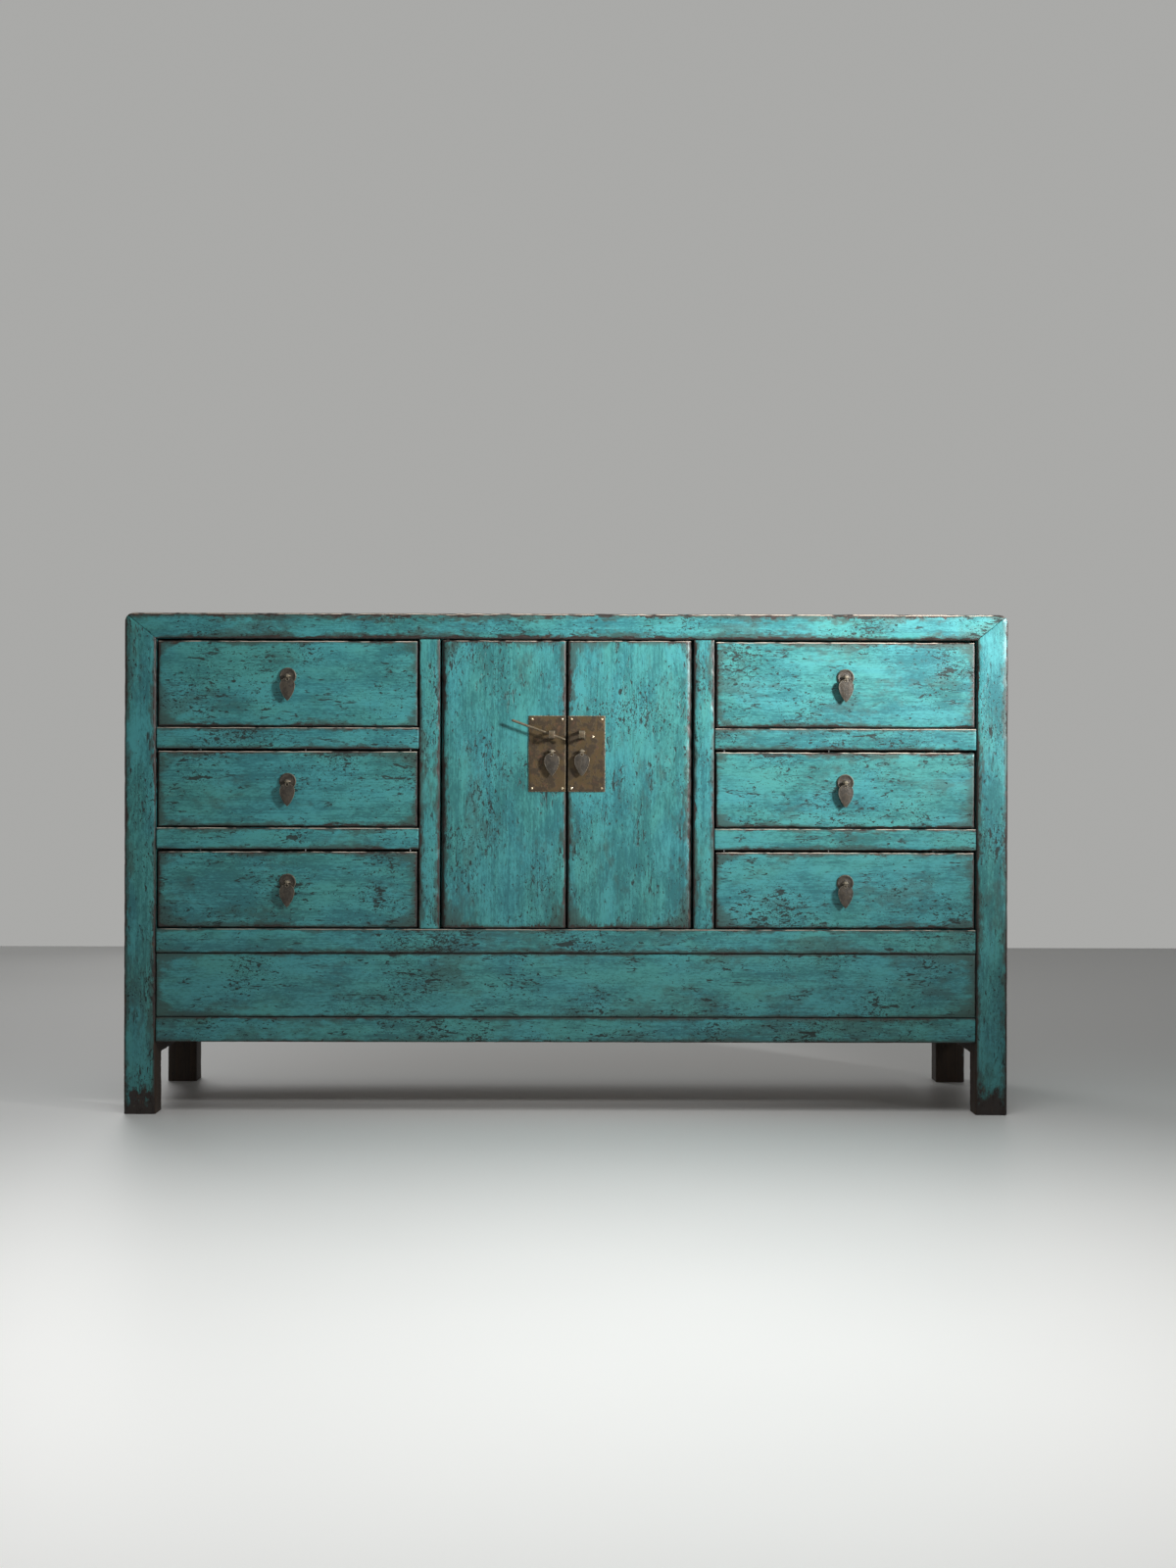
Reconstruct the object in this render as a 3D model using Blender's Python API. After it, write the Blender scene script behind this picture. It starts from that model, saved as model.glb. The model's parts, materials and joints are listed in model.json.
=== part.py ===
"""Lacquered sideboard: six drawers either side of a two-door cupboard, on four posts.

Run with: blender --background --python part.py
Metres, +Z up, +X to the right of someone who faces the front, +Y towards the back.
The origin is on the floor, in the middle of everything that stands on it.
"""
import math

import bmesh
import bpy
from mathutils import Matrix, Vector

# The front, from side to side
POST_WIDTH = 0.055
DRAWER_OPENING_WIDTH = 0.451
STILE_WIDTH = 0.036
DOOR_OPENING_WIDTH = 0.436

# The front, from the floor up
LEG_CLEAR = 0.124
BOTTOM_RAIL_HEIGHT = 0.043
APRON_HEIGHT = 0.110
WAIST_RAIL_HEIGHT = 0.042
BOTTOM_DRAWER_OPENING = 0.136
MIDDLE_DRAWER_OPENING = 0.135
TOP_DRAWER_OPENING = 0.152
DRAWER_RAIL_HEIGHT = 0.0375
TOP_RAIL_HEIGHT = 0.045

# From front to back
CASE_DEPTH = 0.450
POST_DEPTH = 0.055
FRAME_THICKNESS = 0.030

# Rounding of the case
CORNER_ROUND = 0.019
OUTER_EDGE_ROUND = 0.004
EDGE = 0.0015

# Gap between pieces that touch
SEAT = 0.0003

# Joinery
TENON_LENGTH = 0.018
TENON_SHOULDER = 0.008
TENON_TAPER = 0.0005
TONGUE_REACH = 0.008
TONGUE_THICKNESS = 0.006
TONGUE_INSET = 0.005

# Panels and boards
TOP_PANEL_THICKNESS = 0.014
TOP_PANEL_RECESS = 0.0008
APRON_THICKNESS = 0.014
APRON_RECESS = 0.0008
SIDE_PANEL_THICKNESS = 0.010
SIDE_PANEL_RECESS = 0.008
BACK_PANEL_THICKNESS = 0.010
BACK_PANEL_RECESS = 0.012
FLOOR_THICKNESS = 0.012
PARTITION_THICKNESS = 0.012

# Low rails at the sides and back
LOW_RAIL_CLEAR = 0.085
LOW_RAIL_HEIGHT = 0.045
LOW_RAIL_RECESS = 0.002

# Drawer runners
RUNNER_HEIGHT = 0.018
RUNNER_BEARING = 0.020
GUIDE_HEIGHT = 0.022
GUIDE_GAP = 0.0008
RACK_UPRIGHT = 0.028
LAP = 0.001

# Drawers
DRAWER_SIDE_GAP = 0.0025
DRAWER_TOP_GAP = 0.003
DRAWER_BOTTOM_GAP = 0.0012
DRAWER_RECESS = 0.0025
DRAWER_FRONT_THICKNESS = 0.020
DRAWER_FRONT_EDGE = 0.003
DRAWER_BACK_GAP = 0.0232
DRAWER_WALL = 0.011
DRAWER_BASE = 0.008
DRAWER_BOX_DROP = 0.016

# Doors
DOOR_THICKNESS = 0.020
DOOR_RECESS = 0.001
DOOR_MEETING_GAP = 0.0025
DOOR_HINGE_GAP = 0.002
DOOR_TOP_GAP = 0.002
DOOR_FOOT_GAP = 0.0015
DOOR_EDGE = 0.003
DOOR_HINGE_FLAT = 0.0006
PEG_RADIUS = 0.005
PEG_LENGTH = 0.010
PEG_CLEARANCE = 0.0004
BATTEN_HEIGHT = 0.040
BATTEN_THICKNESS = 0.014
BATTEN_MARGIN = 0.026
BATTEN_FROM_END = 0.070

# Leaf pulls, the same on drawers and doors
ROSETTE_RADIUS = 0.0145
ROSETTE_RISE = 0.003
ROSETTE_RIM = 0.001
EYE_WIRE_RADIUS = 0.0013
EYE_REACH = 0.006
EYE_BEND = 1.2
KNUCKLE_RADIUS = 0.0032
KNUCKLE_LENGTH = 0.0056
KNUCKLE_GAP = 0.0003
LEAF_LENGTH = 0.043
LEAF_WIDTH = 0.026
LEAF_THICKNESS = 0.002
LEAF_NECK = 0.0034
LEAF_SHOULDER = 0.64
LEAF_FULLNESS = 0.75
PULL_ABOVE_MIDDLE = 0.012

# Lock plates and their pin
PLATE_WIDTH = 0.064
PLATE_HEIGHT = 0.131
PLATE_THICKNESS = 0.0015
PLATE_MARGIN = 0.0006
PLATE_FOOT = 0.555
LUG_ABOVE_PLATE_FOOT = 0.098
LEAF_ABOVE_PLATE_FOOT = 0.070
LUG_FROM_MEETING = 0.0245
LUG_WIDTH = 0.010
LUG_REACH = 0.022
LUG_STRIP = 0.0025
PIN_RADIUS = 0.0024
PIN_LENGTH = 0.097
PIN_TILT = math.radians(20.0)
PIN_OUT = 0.012
PIN_TIP_SETBACK = 0.001
PIN_END_ROUND = 0.00096
NAIL_RADIUS = 0.0024
NAIL_INSET = 0.006
NAIL_FLATNESS = 0.5

# Places worked out from the sizes
X_POST_IN = DOOR_OPENING_WIDTH / 2 + STILE_WIDTH + DRAWER_OPENING_WIDTH
X_STILE_IN = DOOR_OPENING_WIDTH / 2
X_STILE_OUT = X_STILE_IN + STILE_WIDTH
X_OUT = X_POST_IN + POST_WIDTH
Z_APRON = LEG_CLEAR + BOTTOM_RAIL_HEIGHT
Z_WAIST = Z_APRON + APRON_HEIGHT
Z_OPENING = Z_WAIST + WAIST_RAIL_HEIGHT
Z_RAIL_LOWER = Z_OPENING + BOTTOM_DRAWER_OPENING
Z_MIDDLE = Z_RAIL_LOWER + DRAWER_RAIL_HEIGHT
Z_RAIL_UPPER = Z_MIDDLE + MIDDLE_DRAWER_OPENING
Z_TOP_DRAWER = Z_RAIL_UPPER + DRAWER_RAIL_HEIGHT
Z_TOP_RAIL = Z_TOP_DRAWER + TOP_DRAWER_OPENING
Z_TOP = Z_TOP_RAIL + TOP_RAIL_HEIGHT
Z_LOW_RAIL = LOW_RAIL_CLEAR + LOW_RAIL_HEIGHT
METAL_PROUD = LUG_REACH + PLATE_THICKNESS + SEAT - DOOR_RECESS
Y_FRONT = -(CASE_DEPTH - METAL_PROUD) / 2
Y_BACK = Y_FRONT + CASE_DEPTH
Y_FRAME = Y_FRONT + FRAME_THICKNESS
Y_BACK_PANEL = Y_BACK - BACK_PANEL_RECESS - BACK_PANEL_THICKNESS
X_SIDE_PANEL = X_OUT - SIDE_PANEL_RECESS - SIDE_PANEL_THICKNESS
X_PARTITION = (X_STILE_IN + X_STILE_OUT) / 2
Z_FLOOR = Z_LOW_RAIL + SEAT + FLOOR_THICKNESS
Z_CEILING = Z_TOP - TOP_PANEL_THICKNESS
X_PIVOT = X_STILE_IN - DOOR_HINGE_GAP - DOOR_THICKNESS / 2
Y_DOOR = Y_FRONT + DOOR_RECESS
Y_PIVOT = Y_DOOR + DOOR_THICKNESS / 2
Y_DRAWER = Y_FRONT + DRAWER_RECESS
Y_DRAWER_BOX = Y_DRAWER + DRAWER_FRONT_THICKNESS + SEAT
Y_DRAWER_BACK = Y_BACK_PANEL - DRAWER_BACK_GAP
Y_PLATE = Y_DOOR - SEAT - PLATE_THICKNESS

# Each tier of drawers: its name, and its opening's foot and head
TIERS = (
    ("bottom", Z_OPENING, Z_RAIL_LOWER),
    ("middle", Z_MIDDLE, Z_RAIL_UPPER),
    ("top", Z_TOP_DRAWER, Z_TOP_RAIL),
)
SIDES = (("left", -1), ("right", 1))

# How far the posts and top rails reach, at the front and at the back
MEMBER_DEPTHS = ((Y_FRONT, Y_FRONT + POST_DEPTH), (Y_BACK - POST_DEPTH, Y_BACK))

# Spare length of cutters, and the sides of round pieces
OVERSIZE = 0.02
ROUND_SIDES = 14
SHARP = math.radians(60)


def clear_scene():
    """Removes whatever the file holds, such as the start-up cube."""
    for obj in list(bpy.data.objects):
        bpy.data.objects.remove(obj, do_unlink=True)


def new_collection(name):
    """A collection under the scene's own."""
    collection = bpy.data.collections.new(name)
    bpy.context.scene.collection.children.link(collection)
    return collection


def new_finish(name, colour, roughness, metallic=0.0):
    """A Principled material of one colour."""
    finish = bpy.data.materials.new(name)
    finish.use_nodes = True
    shader = finish.node_tree.nodes["Principled BSDF"]
    shader.inputs["Base Color"].default_value = (*colour, 1.0)
    shader.inputs["Roughness"].default_value = roughness
    shader.inputs["Metallic"].default_value = metallic
    return finish


clear_scene()
PIECES = new_collection("lacquer_sideboard")
CUTTERS = new_collection("joinery_cutters")
LACQUER = new_finish("turquoise_lacquer", (0.042, 0.235, 0.235), 0.42)
BARE_WOOD = new_finish("bare_wood", (0.115, 0.058, 0.030), 0.75)
METAL = new_finish("aged_brass", (0.085, 0.062, 0.043), 0.45, 0.85)
IRON = new_finish("dark_leaf_metal", (0.050, 0.042, 0.038), 0.50, 0.85)


def place_of(body):
    """Where an empty stands in the world, down its chain of parents."""
    place = Vector((0.0, 0.0, 0.0))
    while body is not None:
        place += body.location
        body = body.parent
    return place


def new_body(name, place, parent=None):
    """An empty on a joint's axis, which the pieces that move together hang from."""
    body = bpy.data.objects.new(name, None)
    body.empty_display_size = 0.02
    body.parent = parent
    body.location = Vector(place) - place_of(parent)
    PIECES.objects.link(body)
    return body


def new_piece(name, bm, finish, body=None, smooth=False):
    """A named object from a bmesh in world places, hung from its body."""
    origin = place_of(body)
    bmesh.ops.translate(bm, verts=bm.verts, vec=-origin)
    bmesh.ops.recalc_face_normals(bm, faces=bm.faces)
    mesh = bpy.data.meshes.new(name)
    bm.to_mesh(mesh)
    bm.free()
    if smooth:
        mesh.shade_smooth()
        mesh.set_sharp_from_angle(angle=math.radians(35))
    mesh.materials.append(finish)
    piece = bpy.data.objects.new(name, mesh)
    piece.parent = body
    PIECES.objects.link(piece)
    return piece


def new_tool(name, bm):
    """A hidden object that cuts or joins other pieces, from a bmesh in world places."""
    bmesh.ops.recalc_face_normals(bm, faces=bm.faces)
    mesh = bpy.data.meshes.new(name)
    bm.to_mesh(mesh)
    bm.free()
    tool = bpy.data.objects.new(name, mesh)
    tool.hide_render = True
    tool.display_type = "WIRE"
    CUTTERS.objects.link(tool)
    return tool


def combine(piece, tool, operation):
    """Cuts the tool out of the piece, joins it on or keeps what lies inside it."""
    step = piece.modifiers.new(tool.name, "BOOLEAN")
    step.operation = operation
    step.object = tool


def cut(tool, *pieces):
    """Takes one tool out of several pieces."""
    for piece in pieces:
        combine(piece, tool, "DIFFERENCE")


def box(low, high, edge=0.0):
    """A bmesh box between two corners, with its edges bevelled."""
    low, high = Vector(low), Vector(high)
    size = Matrix.Diagonal((*(high - low), 1.0))
    bm = bmesh.new()
    bmesh.ops.create_cube(bm, size=1.0, matrix=Matrix.Translation((low + high) / 2) @ size)
    if edge:
        bevel(bm, bm.edges[:], edge, 1)
    return bm


def bevel(bm, edges, offset, segments):
    """Rounds these edges."""
    bmesh.ops.bevel(bm, geom=edges, offset=offset, segments=segments, profile=0.5, affect="EDGES")


def sided_box(side, low, high, edge=0.0):
    """A box given for the right-hand side, mirrored in place when side is -1."""
    if side < 0:
        low, high = (-high[0], low[1], low[2]), (-low[0], high[1], high[2])
    return box(low, high, edge)


def rod(start, end, radius, sides=ROUND_SIDES):
    """A bmesh cylinder from one point to another."""
    start, end = Vector(start), Vector(end)
    turn = (end - start).to_track_quat("Z", "Y").to_matrix().to_4x4()
    bm = bmesh.new()
    bmesh.ops.create_cone(
        bm,
        cap_ends=True,
        segments=sides,
        radius1=radius,
        radius2=radius,
        depth=(end - start).length,
        matrix=Matrix.Translation((start + end) / 2) @ turn,
    )
    return bm


def grown(low, high, by):
    """The two corners of a box, moved out on every side."""
    return [v - by for v in low], [v + by for v in high]


def slice_off(bm, point, normal):
    """Removes what lies on the side of a plane that its normal points to, and closes the cut."""
    every = bm.verts[:] + bm.edges[:] + bm.faces[:]
    result = bmesh.ops.bisect_plane(
        bm, geom=every, plane_co=point, plane_no=normal, clear_outer=True, dist=1e-7
    )
    rim = [g for g in result["geom_cut"] if isinstance(g, bmesh.types.BMEdge)]
    bmesh.ops.contextual_create(bm, geom=rim)


# The case's outer surface, which rounds every outer member alike


def case_surface():
    """The case as one block, with round upper corners and softened edges."""
    bm = box((-X_OUT, Y_FRONT, 0.0), (X_OUT, Y_BACK, Z_TOP))
    ends = [
        e
        for e in bm.edges
        if all(v.co.z > Z_TOP / 2 for v in e.verts) and e.verts[0].co.x * e.verts[1].co.x > 0
    ]
    bevel(bm, ends, CORNER_ROUND, 4)
    sharp = [e for e in bm.edges if e.calc_face_angle() > SHARP]
    bevel(bm, sharp, OUTER_EDGE_ROUND, 2)
    return new_tool("case_surface", bm)


def mitre(bm, side, end, keep, other):
    """Cuts a member at a three-way corner of the case.

    Going in from the outer corner, the member whose own direction has gone furthest, as a
    share of the corner block's size, holds that place. The cut against one neighbour is
    therefore a plane through the outer corner.
    """
    inward = {
        "x": Vector((-side / POST_WIDTH, 0.0, 0.0)),
        "y": Vector((0.0, -end / POST_DEPTH, 0.0)),
        "z": Vector((0.0, 0.0, -1.0 / TOP_RAIL_HEIGHT)),
    }
    normal = (inward[other] - inward[keep]).normalized()
    corner = Vector((side * X_OUT, Y_BACK if end > 0 else Y_FRONT, Z_TOP))
    slice_off(bm, corner - normal * SEAT / 2, normal)


def make_posts(surface):
    """Four square posts that run from the floor into the mitred corners."""
    posts = {}
    for end_name, end in (("front", -1), ("back", 1)):
        y_out = Y_FRONT if end < 0 else Y_BACK
        y_low, y_high = sorted((y_out + end * OVERSIZE, y_out - end * POST_DEPTH))
        for side_name, side in SIDES:
            low = (X_POST_IN, y_low, -OVERSIZE)
            high = (X_OUT + OVERSIZE, y_high, Z_TOP + OVERSIZE)
            bm = sided_box(side, low, high, EDGE)
            mitre(bm, side, end, "z", "x")
            mitre(bm, side, end, "z", "y")
            post = new_piece(f"post_{end_name}_{side_name}", bm, LACQUER)
            combine(post, surface, "INTERSECT")
            posts[end_name, side_name] = post
    return posts


def make_top_rails(surface):
    """The top's frame: four rails mitred to each other and to the posts."""
    rails = {}
    for name, end in (("front", -1), ("back", 1)):
        y_out = Y_FRONT if end < 0 else Y_BACK
        y_low, y_high = sorted((y_out + end * OVERSIZE, y_out - end * POST_DEPTH))
        low = (-X_OUT - OVERSIZE, y_low, Z_TOP_RAIL)
        bm = box(low, (X_OUT + OVERSIZE, y_high, Z_TOP + OVERSIZE), EDGE)
        for _, side in SIDES:
            mitre(bm, side, end, "x", "z")
            mitre(bm, side, end, "x", "y")
        rails[name] = new_piece(f"top_rail_{name}", bm, LACQUER)
    for name, side in SIDES:
        low = (X_POST_IN, Y_FRONT - OVERSIZE, Z_TOP_RAIL)
        high = (X_OUT + OVERSIZE, Y_BACK + OVERSIZE, Z_TOP + OVERSIZE)
        bm = sided_box(side, low, high, EDGE)
        for end in (-1, 1):
            mitre(bm, side, end, "y", "z")
            mitre(bm, side, end, "y", "x")
        rails[name] = new_piece(f"top_rail_{name}", bm, LACQUER)
    for rail in rails.values():
        combine(rail, surface, "INTERSECT")
    return rails


# Rails, stiles and panels


def tenoned(name, low, high, axis, low_post, high_post):
    """A rail or stile with a tenon at each end, and the mortises that take them."""
    low, high = list(low), list(high)
    low[axis] += SEAT
    high[axis] -= SEAT
    bm = box(low, high, EDGE)
    for sign, receiver in ((-1, low_post), (1, high_post)):
        end = max(bm.faces, key=lambda f: (round(f.normal[axis] * sign, 3), f.calc_area()))
        for inset, depth in ((TENON_SHOULDER - EDGE, 0.0), (TENON_TAPER, TENON_LENGTH)):
            bmesh.ops.inset_individual(
                bm, faces=[end], thickness=inset, depth=depth, use_even_offset=True
            )
        hole_low = [v + TENON_SHOULDER for v in low]
        hole_high = [v - TENON_SHOULDER for v in high]
        shoulder = low[axis] if sign < 0 else high[axis]
        hole_low[axis], hole_high[axis] = sorted((shoulder, shoulder + sign * TENON_LENGTH))
        end_name = "low" if sign < 0 else "high"
        cut(new_tool(f"{name}_{end_name}_mortise", box(*grown(hole_low, hole_high, SEAT))), receiver)
    return new_piece(name, bm, LACQUER)


def let_in(name, low, high, finish, *receivers):
    """A plain panel whose edges sit in grooves of the pieces around it."""
    cut(new_tool(f"{name}_groove", box(*grown(low, high, SEAT))), *receivers)
    return new_piece(name, box(low, high), finish)


def tongued(name, low, high, thin_axis, face_sign, finish, *receivers):
    """A panel with a flush face and a tongue all round, set in grooves."""
    tongue_low = [v - TONGUE_REACH for v in low]
    tongue_high = [v + TONGUE_REACH for v in high]
    face = low[thin_axis] if face_sign < 0 else high[thin_axis]
    near = face - face_sign * TONGUE_INSET
    far = near - face_sign * TONGUE_THICKNESS
    tongue_low[thin_axis], tongue_high[thin_axis] = sorted((near, far))
    panel = new_piece(name, box(*grown(low, high, -SEAT), EDGE), finish)
    combine(panel, new_tool(f"{name}_tongue", box(tongue_low, tongue_high)), "UNION")
    cut(new_tool(f"{name}_groove", box(*grown(tongue_low, tongue_high, SEAT))), *receivers)
    return panel


def make_front_frame(posts, top_rails):
    """The rails, stiles and apron that make the openings of the front."""
    left, right = posts["front", "left"], posts["front", "right"]
    bottom_rail = tenoned(
        "bottom_rail_front",
        (-X_POST_IN, Y_FRONT, LEG_CLEAR),
        (X_POST_IN, Y_FRAME, Z_APRON),
        0,
        left,
        right,
    )
    waist_rail = tenoned(
        "waist_rail",
        (-X_POST_IN, Y_FRONT, Z_WAIST),
        (X_POST_IN, Y_FRAME, Z_OPENING),
        0,
        left,
        right,
    )
    y_apron = Y_FRONT + APRON_RECESS
    tongued(
        "apron_panel",
        (-X_POST_IN, y_apron, Z_APRON),
        (X_POST_IN, y_apron + APRON_THICKNESS, Z_WAIST),
        1,
        -1,
        LACQUER,
        left,
        right,
        bottom_rail,
        waist_rail,
    )
    for side_name, side in SIDES:
        x_low, x_high = sorted((side * X_STILE_IN, side * X_STILE_OUT))
        stile = tenoned(
            f"stile_{side_name}",
            (x_low, Y_FRONT, Z_OPENING),
            (x_high, Y_FRAME, Z_TOP_RAIL),
            2,
            waist_rail,
            top_rails["front"],
        )
        x_low, x_high = sorted((side * X_STILE_OUT, side * X_POST_IN))
        ends = (stile, right) if side > 0 else (left, stile)
        for tier, foot in (("lower", Z_RAIL_LOWER), ("upper", Z_RAIL_UPPER)):
            tenoned(
                f"drawer_rail_{side_name}_{tier}",
                (x_low, Y_FRONT, foot),
                (x_high, Y_FRAME, foot + DRAWER_RAIL_HEIGHT),
                0,
                *ends,
            )
    return waist_rail


def make_low_rails(posts):
    """The low rails that tie the legs together at the sides and back."""
    rails = {}
    x_out = X_OUT - LOW_RAIL_RECESS
    x_in = x_out - FRAME_THICKNESS
    for side_name, side in SIDES:
        x_low, x_high = sorted((side * x_in, side * x_out))
        rails[side_name] = tenoned(
            f"low_rail_{side_name}",
            (x_low, Y_FRONT + POST_DEPTH, LOW_RAIL_CLEAR),
            (x_high, Y_BACK - POST_DEPTH, Z_LOW_RAIL),
            1,
            posts["front", side_name],
            posts["back", side_name],
        )
    y_out = Y_BACK - BACK_PANEL_RECESS + LOW_RAIL_RECESS
    rails["back"] = tenoned(
        "low_rail_back",
        (-X_POST_IN, y_out - FRAME_THICKNESS, LOW_RAIL_CLEAR),
        (X_POST_IN, y_out, Z_LOW_RAIL),
        0,
        posts["back", "left"],
        posts["back", "right"],
    )
    return rails


def make_panels(posts, top_rails, low_rails):
    """The top, side and back panels, in grooves of the frame."""
    tongued(
        "top_panel",
        (-X_POST_IN, Y_FRONT + POST_DEPTH, Z_CEILING),
        (X_POST_IN, Y_BACK - POST_DEPTH, Z_TOP - TOP_PANEL_RECESS),
        2,
        1,
        LACQUER,
        *top_rails.values(),
    )
    for side_name, side in SIDES:
        x_low, x_high = sorted((side * X_SIDE_PANEL, side * (X_SIDE_PANEL + SIDE_PANEL_THICKNESS)))
        let_in(
            f"side_panel_{side_name}",
            (x_low, Y_FRONT + POST_DEPTH - TONGUE_REACH, Z_LOW_RAIL - TONGUE_REACH),
            (x_high, Y_BACK - POST_DEPTH + TONGUE_REACH, Z_TOP_RAIL + TONGUE_REACH),
            LACQUER,
            posts["front", side_name],
            posts["back", side_name],
            top_rails[side_name],
            low_rails[side_name],
        )
    let_in(
        "back_panel",
        (-X_POST_IN - TONGUE_REACH, Y_BACK_PANEL, Z_LOW_RAIL - TONGUE_REACH),
        (X_POST_IN + TONGUE_REACH, Y_BACK_PANEL + BACK_PANEL_THICKNESS, Z_TOP_RAIL + TONGUE_REACH),
        BARE_WOOD,
        posts["back", "left"],
        posts["back", "right"],
        top_rails["back"],
        low_rails["back"],
    )


def make_floor():
    """The bottom board, notched round the posts, on the low rails."""
    low = (-X_SIDE_PANEL + SEAT, Y_FRAME + SEAT, Z_LOW_RAIL + SEAT)
    high = (X_SIDE_PANEL - SEAT, Y_BACK_PANEL - SEAT, Z_FLOOR)
    floor = new_piece("floor_board", box(low, high), BARE_WOOD)
    for y_low, y_high in MEMBER_DEPTHS:
        for side_name, side in SIDES:
            low = (X_POST_IN - SEAT, y_low - SEAT, 0.0)
            high = (X_OUT, y_high + SEAT, Z_TOP / 2)
            cut(new_tool(f"floor_notch_{side_name}", sided_box(side, low, high)), floor)


# Partitions and runners


def runner(side, x_bear, x_guide, x_wall, y_low, y_high, foot):
    """Two bars of one runner: the bearing under a drawer's side, and the guide beside it."""
    low, high = sorted((x_bear, x_wall))
    bearing = sided_box(side, (low, y_low + LAP, foot - RUNNER_HEIGHT), (high, y_high - LAP, foot))
    low, high = sorted((x_guide, x_wall))
    guide = sided_box(
        side,
        (low, y_low + 2 * LAP, foot - RUNNER_HEIGHT / 2),
        (high, y_high - 2 * LAP, foot + GUIDE_HEIGHT),
    )
    return bearing, guide


def make_partitions():
    """Boards between the cupboard and the drawers, with a runner for each inner drawer side."""
    y_low, y_high = Y_FRAME + SEAT, Y_BACK_PANEL - SEAT
    x_low = X_PARTITION - PARTITION_THICKNESS / 2
    x_high = X_PARTITION + PARTITION_THICKNESS / 2
    x_drawer = X_STILE_OUT + DRAWER_SIDE_GAP
    for side_name, side in SIDES:
        bm = sided_box(side, (x_low, y_low, Z_FLOOR + SEAT), (x_high, y_high, Z_CEILING - SEAT))
        partition = new_piece(f"partition_{side_name}", bm, BARE_WOOD)
        for tier, foot, _ in TIERS:
            x_bear, x_guide = x_drawer + RUNNER_BEARING, x_drawer - GUIDE_GAP
            bars = runner(side, x_bear, x_guide, X_PARTITION, y_low, y_high, foot)
            for kind, bar in zip(("bearing", "guide"), bars):
                combine(partition, new_tool(f"partition_{tier}_{kind}", bar), "UNION")
        for y_rail_low, y_rail_high in MEMBER_DEPTHS:
            notch = box(
                (-X_STILE_OUT - OVERSIZE, y_rail_low - SEAT, Z_TOP_RAIL - SEAT),
                (X_STILE_OUT + OVERSIZE, y_rail_high + SEAT, Z_TOP),
            )
            cut(new_tool(f"partition_notch_{side_name}", notch), partition)


def make_racks():
    """A ladder of runners inside each side of the case, for the outer drawer sides."""
    y_low, y_high = Y_FRONT + POST_DEPTH + SEAT, Y_BACK - POST_DEPTH - SEAT
    x_drawer = X_POST_IN - DRAWER_SIDE_GAP
    x_wall = X_SIDE_PANEL - SEAT
    z_low = Z_OPENING - RUNNER_HEIGHT - LAP
    z_high = Z_TOP_DRAWER + GUIDE_HEIGHT + LAP
    for side_name, side in SIDES:
        low = (x_drawer + GUIDE_GAP + LAP, y_low, z_low)
        bm = sided_box(side, low, (x_wall - LAP, y_low + RACK_UPRIGHT, z_high))
        rack = new_piece(f"runner_rack_{side_name}", bm, BARE_WOOD)
        back_upright = sided_box(
            side, (low[0], y_high - RACK_UPRIGHT, z_low), (x_wall - LAP, y_high, z_high)
        )
        tools = [("back_upright", back_upright)]
        for tier, foot, _ in TIERS:
            x_bear, x_guide = x_drawer - RUNNER_BEARING, x_drawer + GUIDE_GAP
            bars = runner(side, x_bear, x_guide, x_wall, y_low, y_high, foot)
            tools += [(f"{tier}_bearing", bars[0]), (f"{tier}_guide", bars[1])]
        # the bars go on first, because the back upright touches the front one only through them
        for name, bm in tools[1:] + tools[:1]:
            combine(rack, new_tool(f"rack_{name}", bm), "UNION")


# Pulls


def mesh_of(curve):
    """A closed bmesh from a curve object, which is removed."""
    bpy.context.view_layer.update()
    graph = bpy.context.evaluated_depsgraph_get()
    mesh = bpy.data.meshes.new_from_object(curve.evaluated_get(graph))
    bm = bmesh.new()
    bm.from_mesh(mesh)
    bmesh.ops.transform(bm, matrix=curve.matrix_world, verts=bm.verts)
    bmesh.ops.remove_doubles(bm, verts=bm.verts, dist=1e-6)
    bpy.data.objects.remove(curve, do_unlink=True)
    bpy.data.meshes.remove(mesh)
    return bm


def curve_object(name, points, cyclic):
    """A curve object with one straight-sided spline."""
    curve = bpy.data.curves.new(name, "CURVE")
    spline = curve.splines.new("POLY")
    spline.points.add(len(points) - 1)
    for point, place in zip(spline.points, points):
        point.co = (*place, 1.0)
    spline.use_cyclic_u = cyclic
    obj = bpy.data.objects.new(name, curve)
    PIECES.objects.link(obj)
    return obj


def eye_wire(x, y_face, z):
    """A staple that stands out of a face and carries a leaf on its cross bar."""
    half = KNUCKLE_LENGTH / 2 + KNUCKLE_GAP + EYE_WIRE_RADIUS
    turn = EYE_WIRE_RADIUS * EYE_BEND
    y_bar = y_face - EYE_REACH
    y_root = y_face + PLATE_THICKNESS / 2
    points = [(x - half, y_root, z)]
    for step in range(4):
        angle = math.radians(30 * step)
        points.append((x - half + turn * (1 - math.cos(angle)), y_bar + turn * (1 - math.sin(angle)), z))
    points += [(2 * x - px, py, pz) for px, py, pz in reversed(points)]
    wire = curve_object("eye_wire", points, False)
    wire.data.dimensions = "3D"
    wire.data.bevel_depth = EYE_WIRE_RADIUS
    wire.data.bevel_resolution = 2
    wire.data.use_fill_caps = True
    return new_tool("eye_wire", mesh_of(wire))


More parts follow.
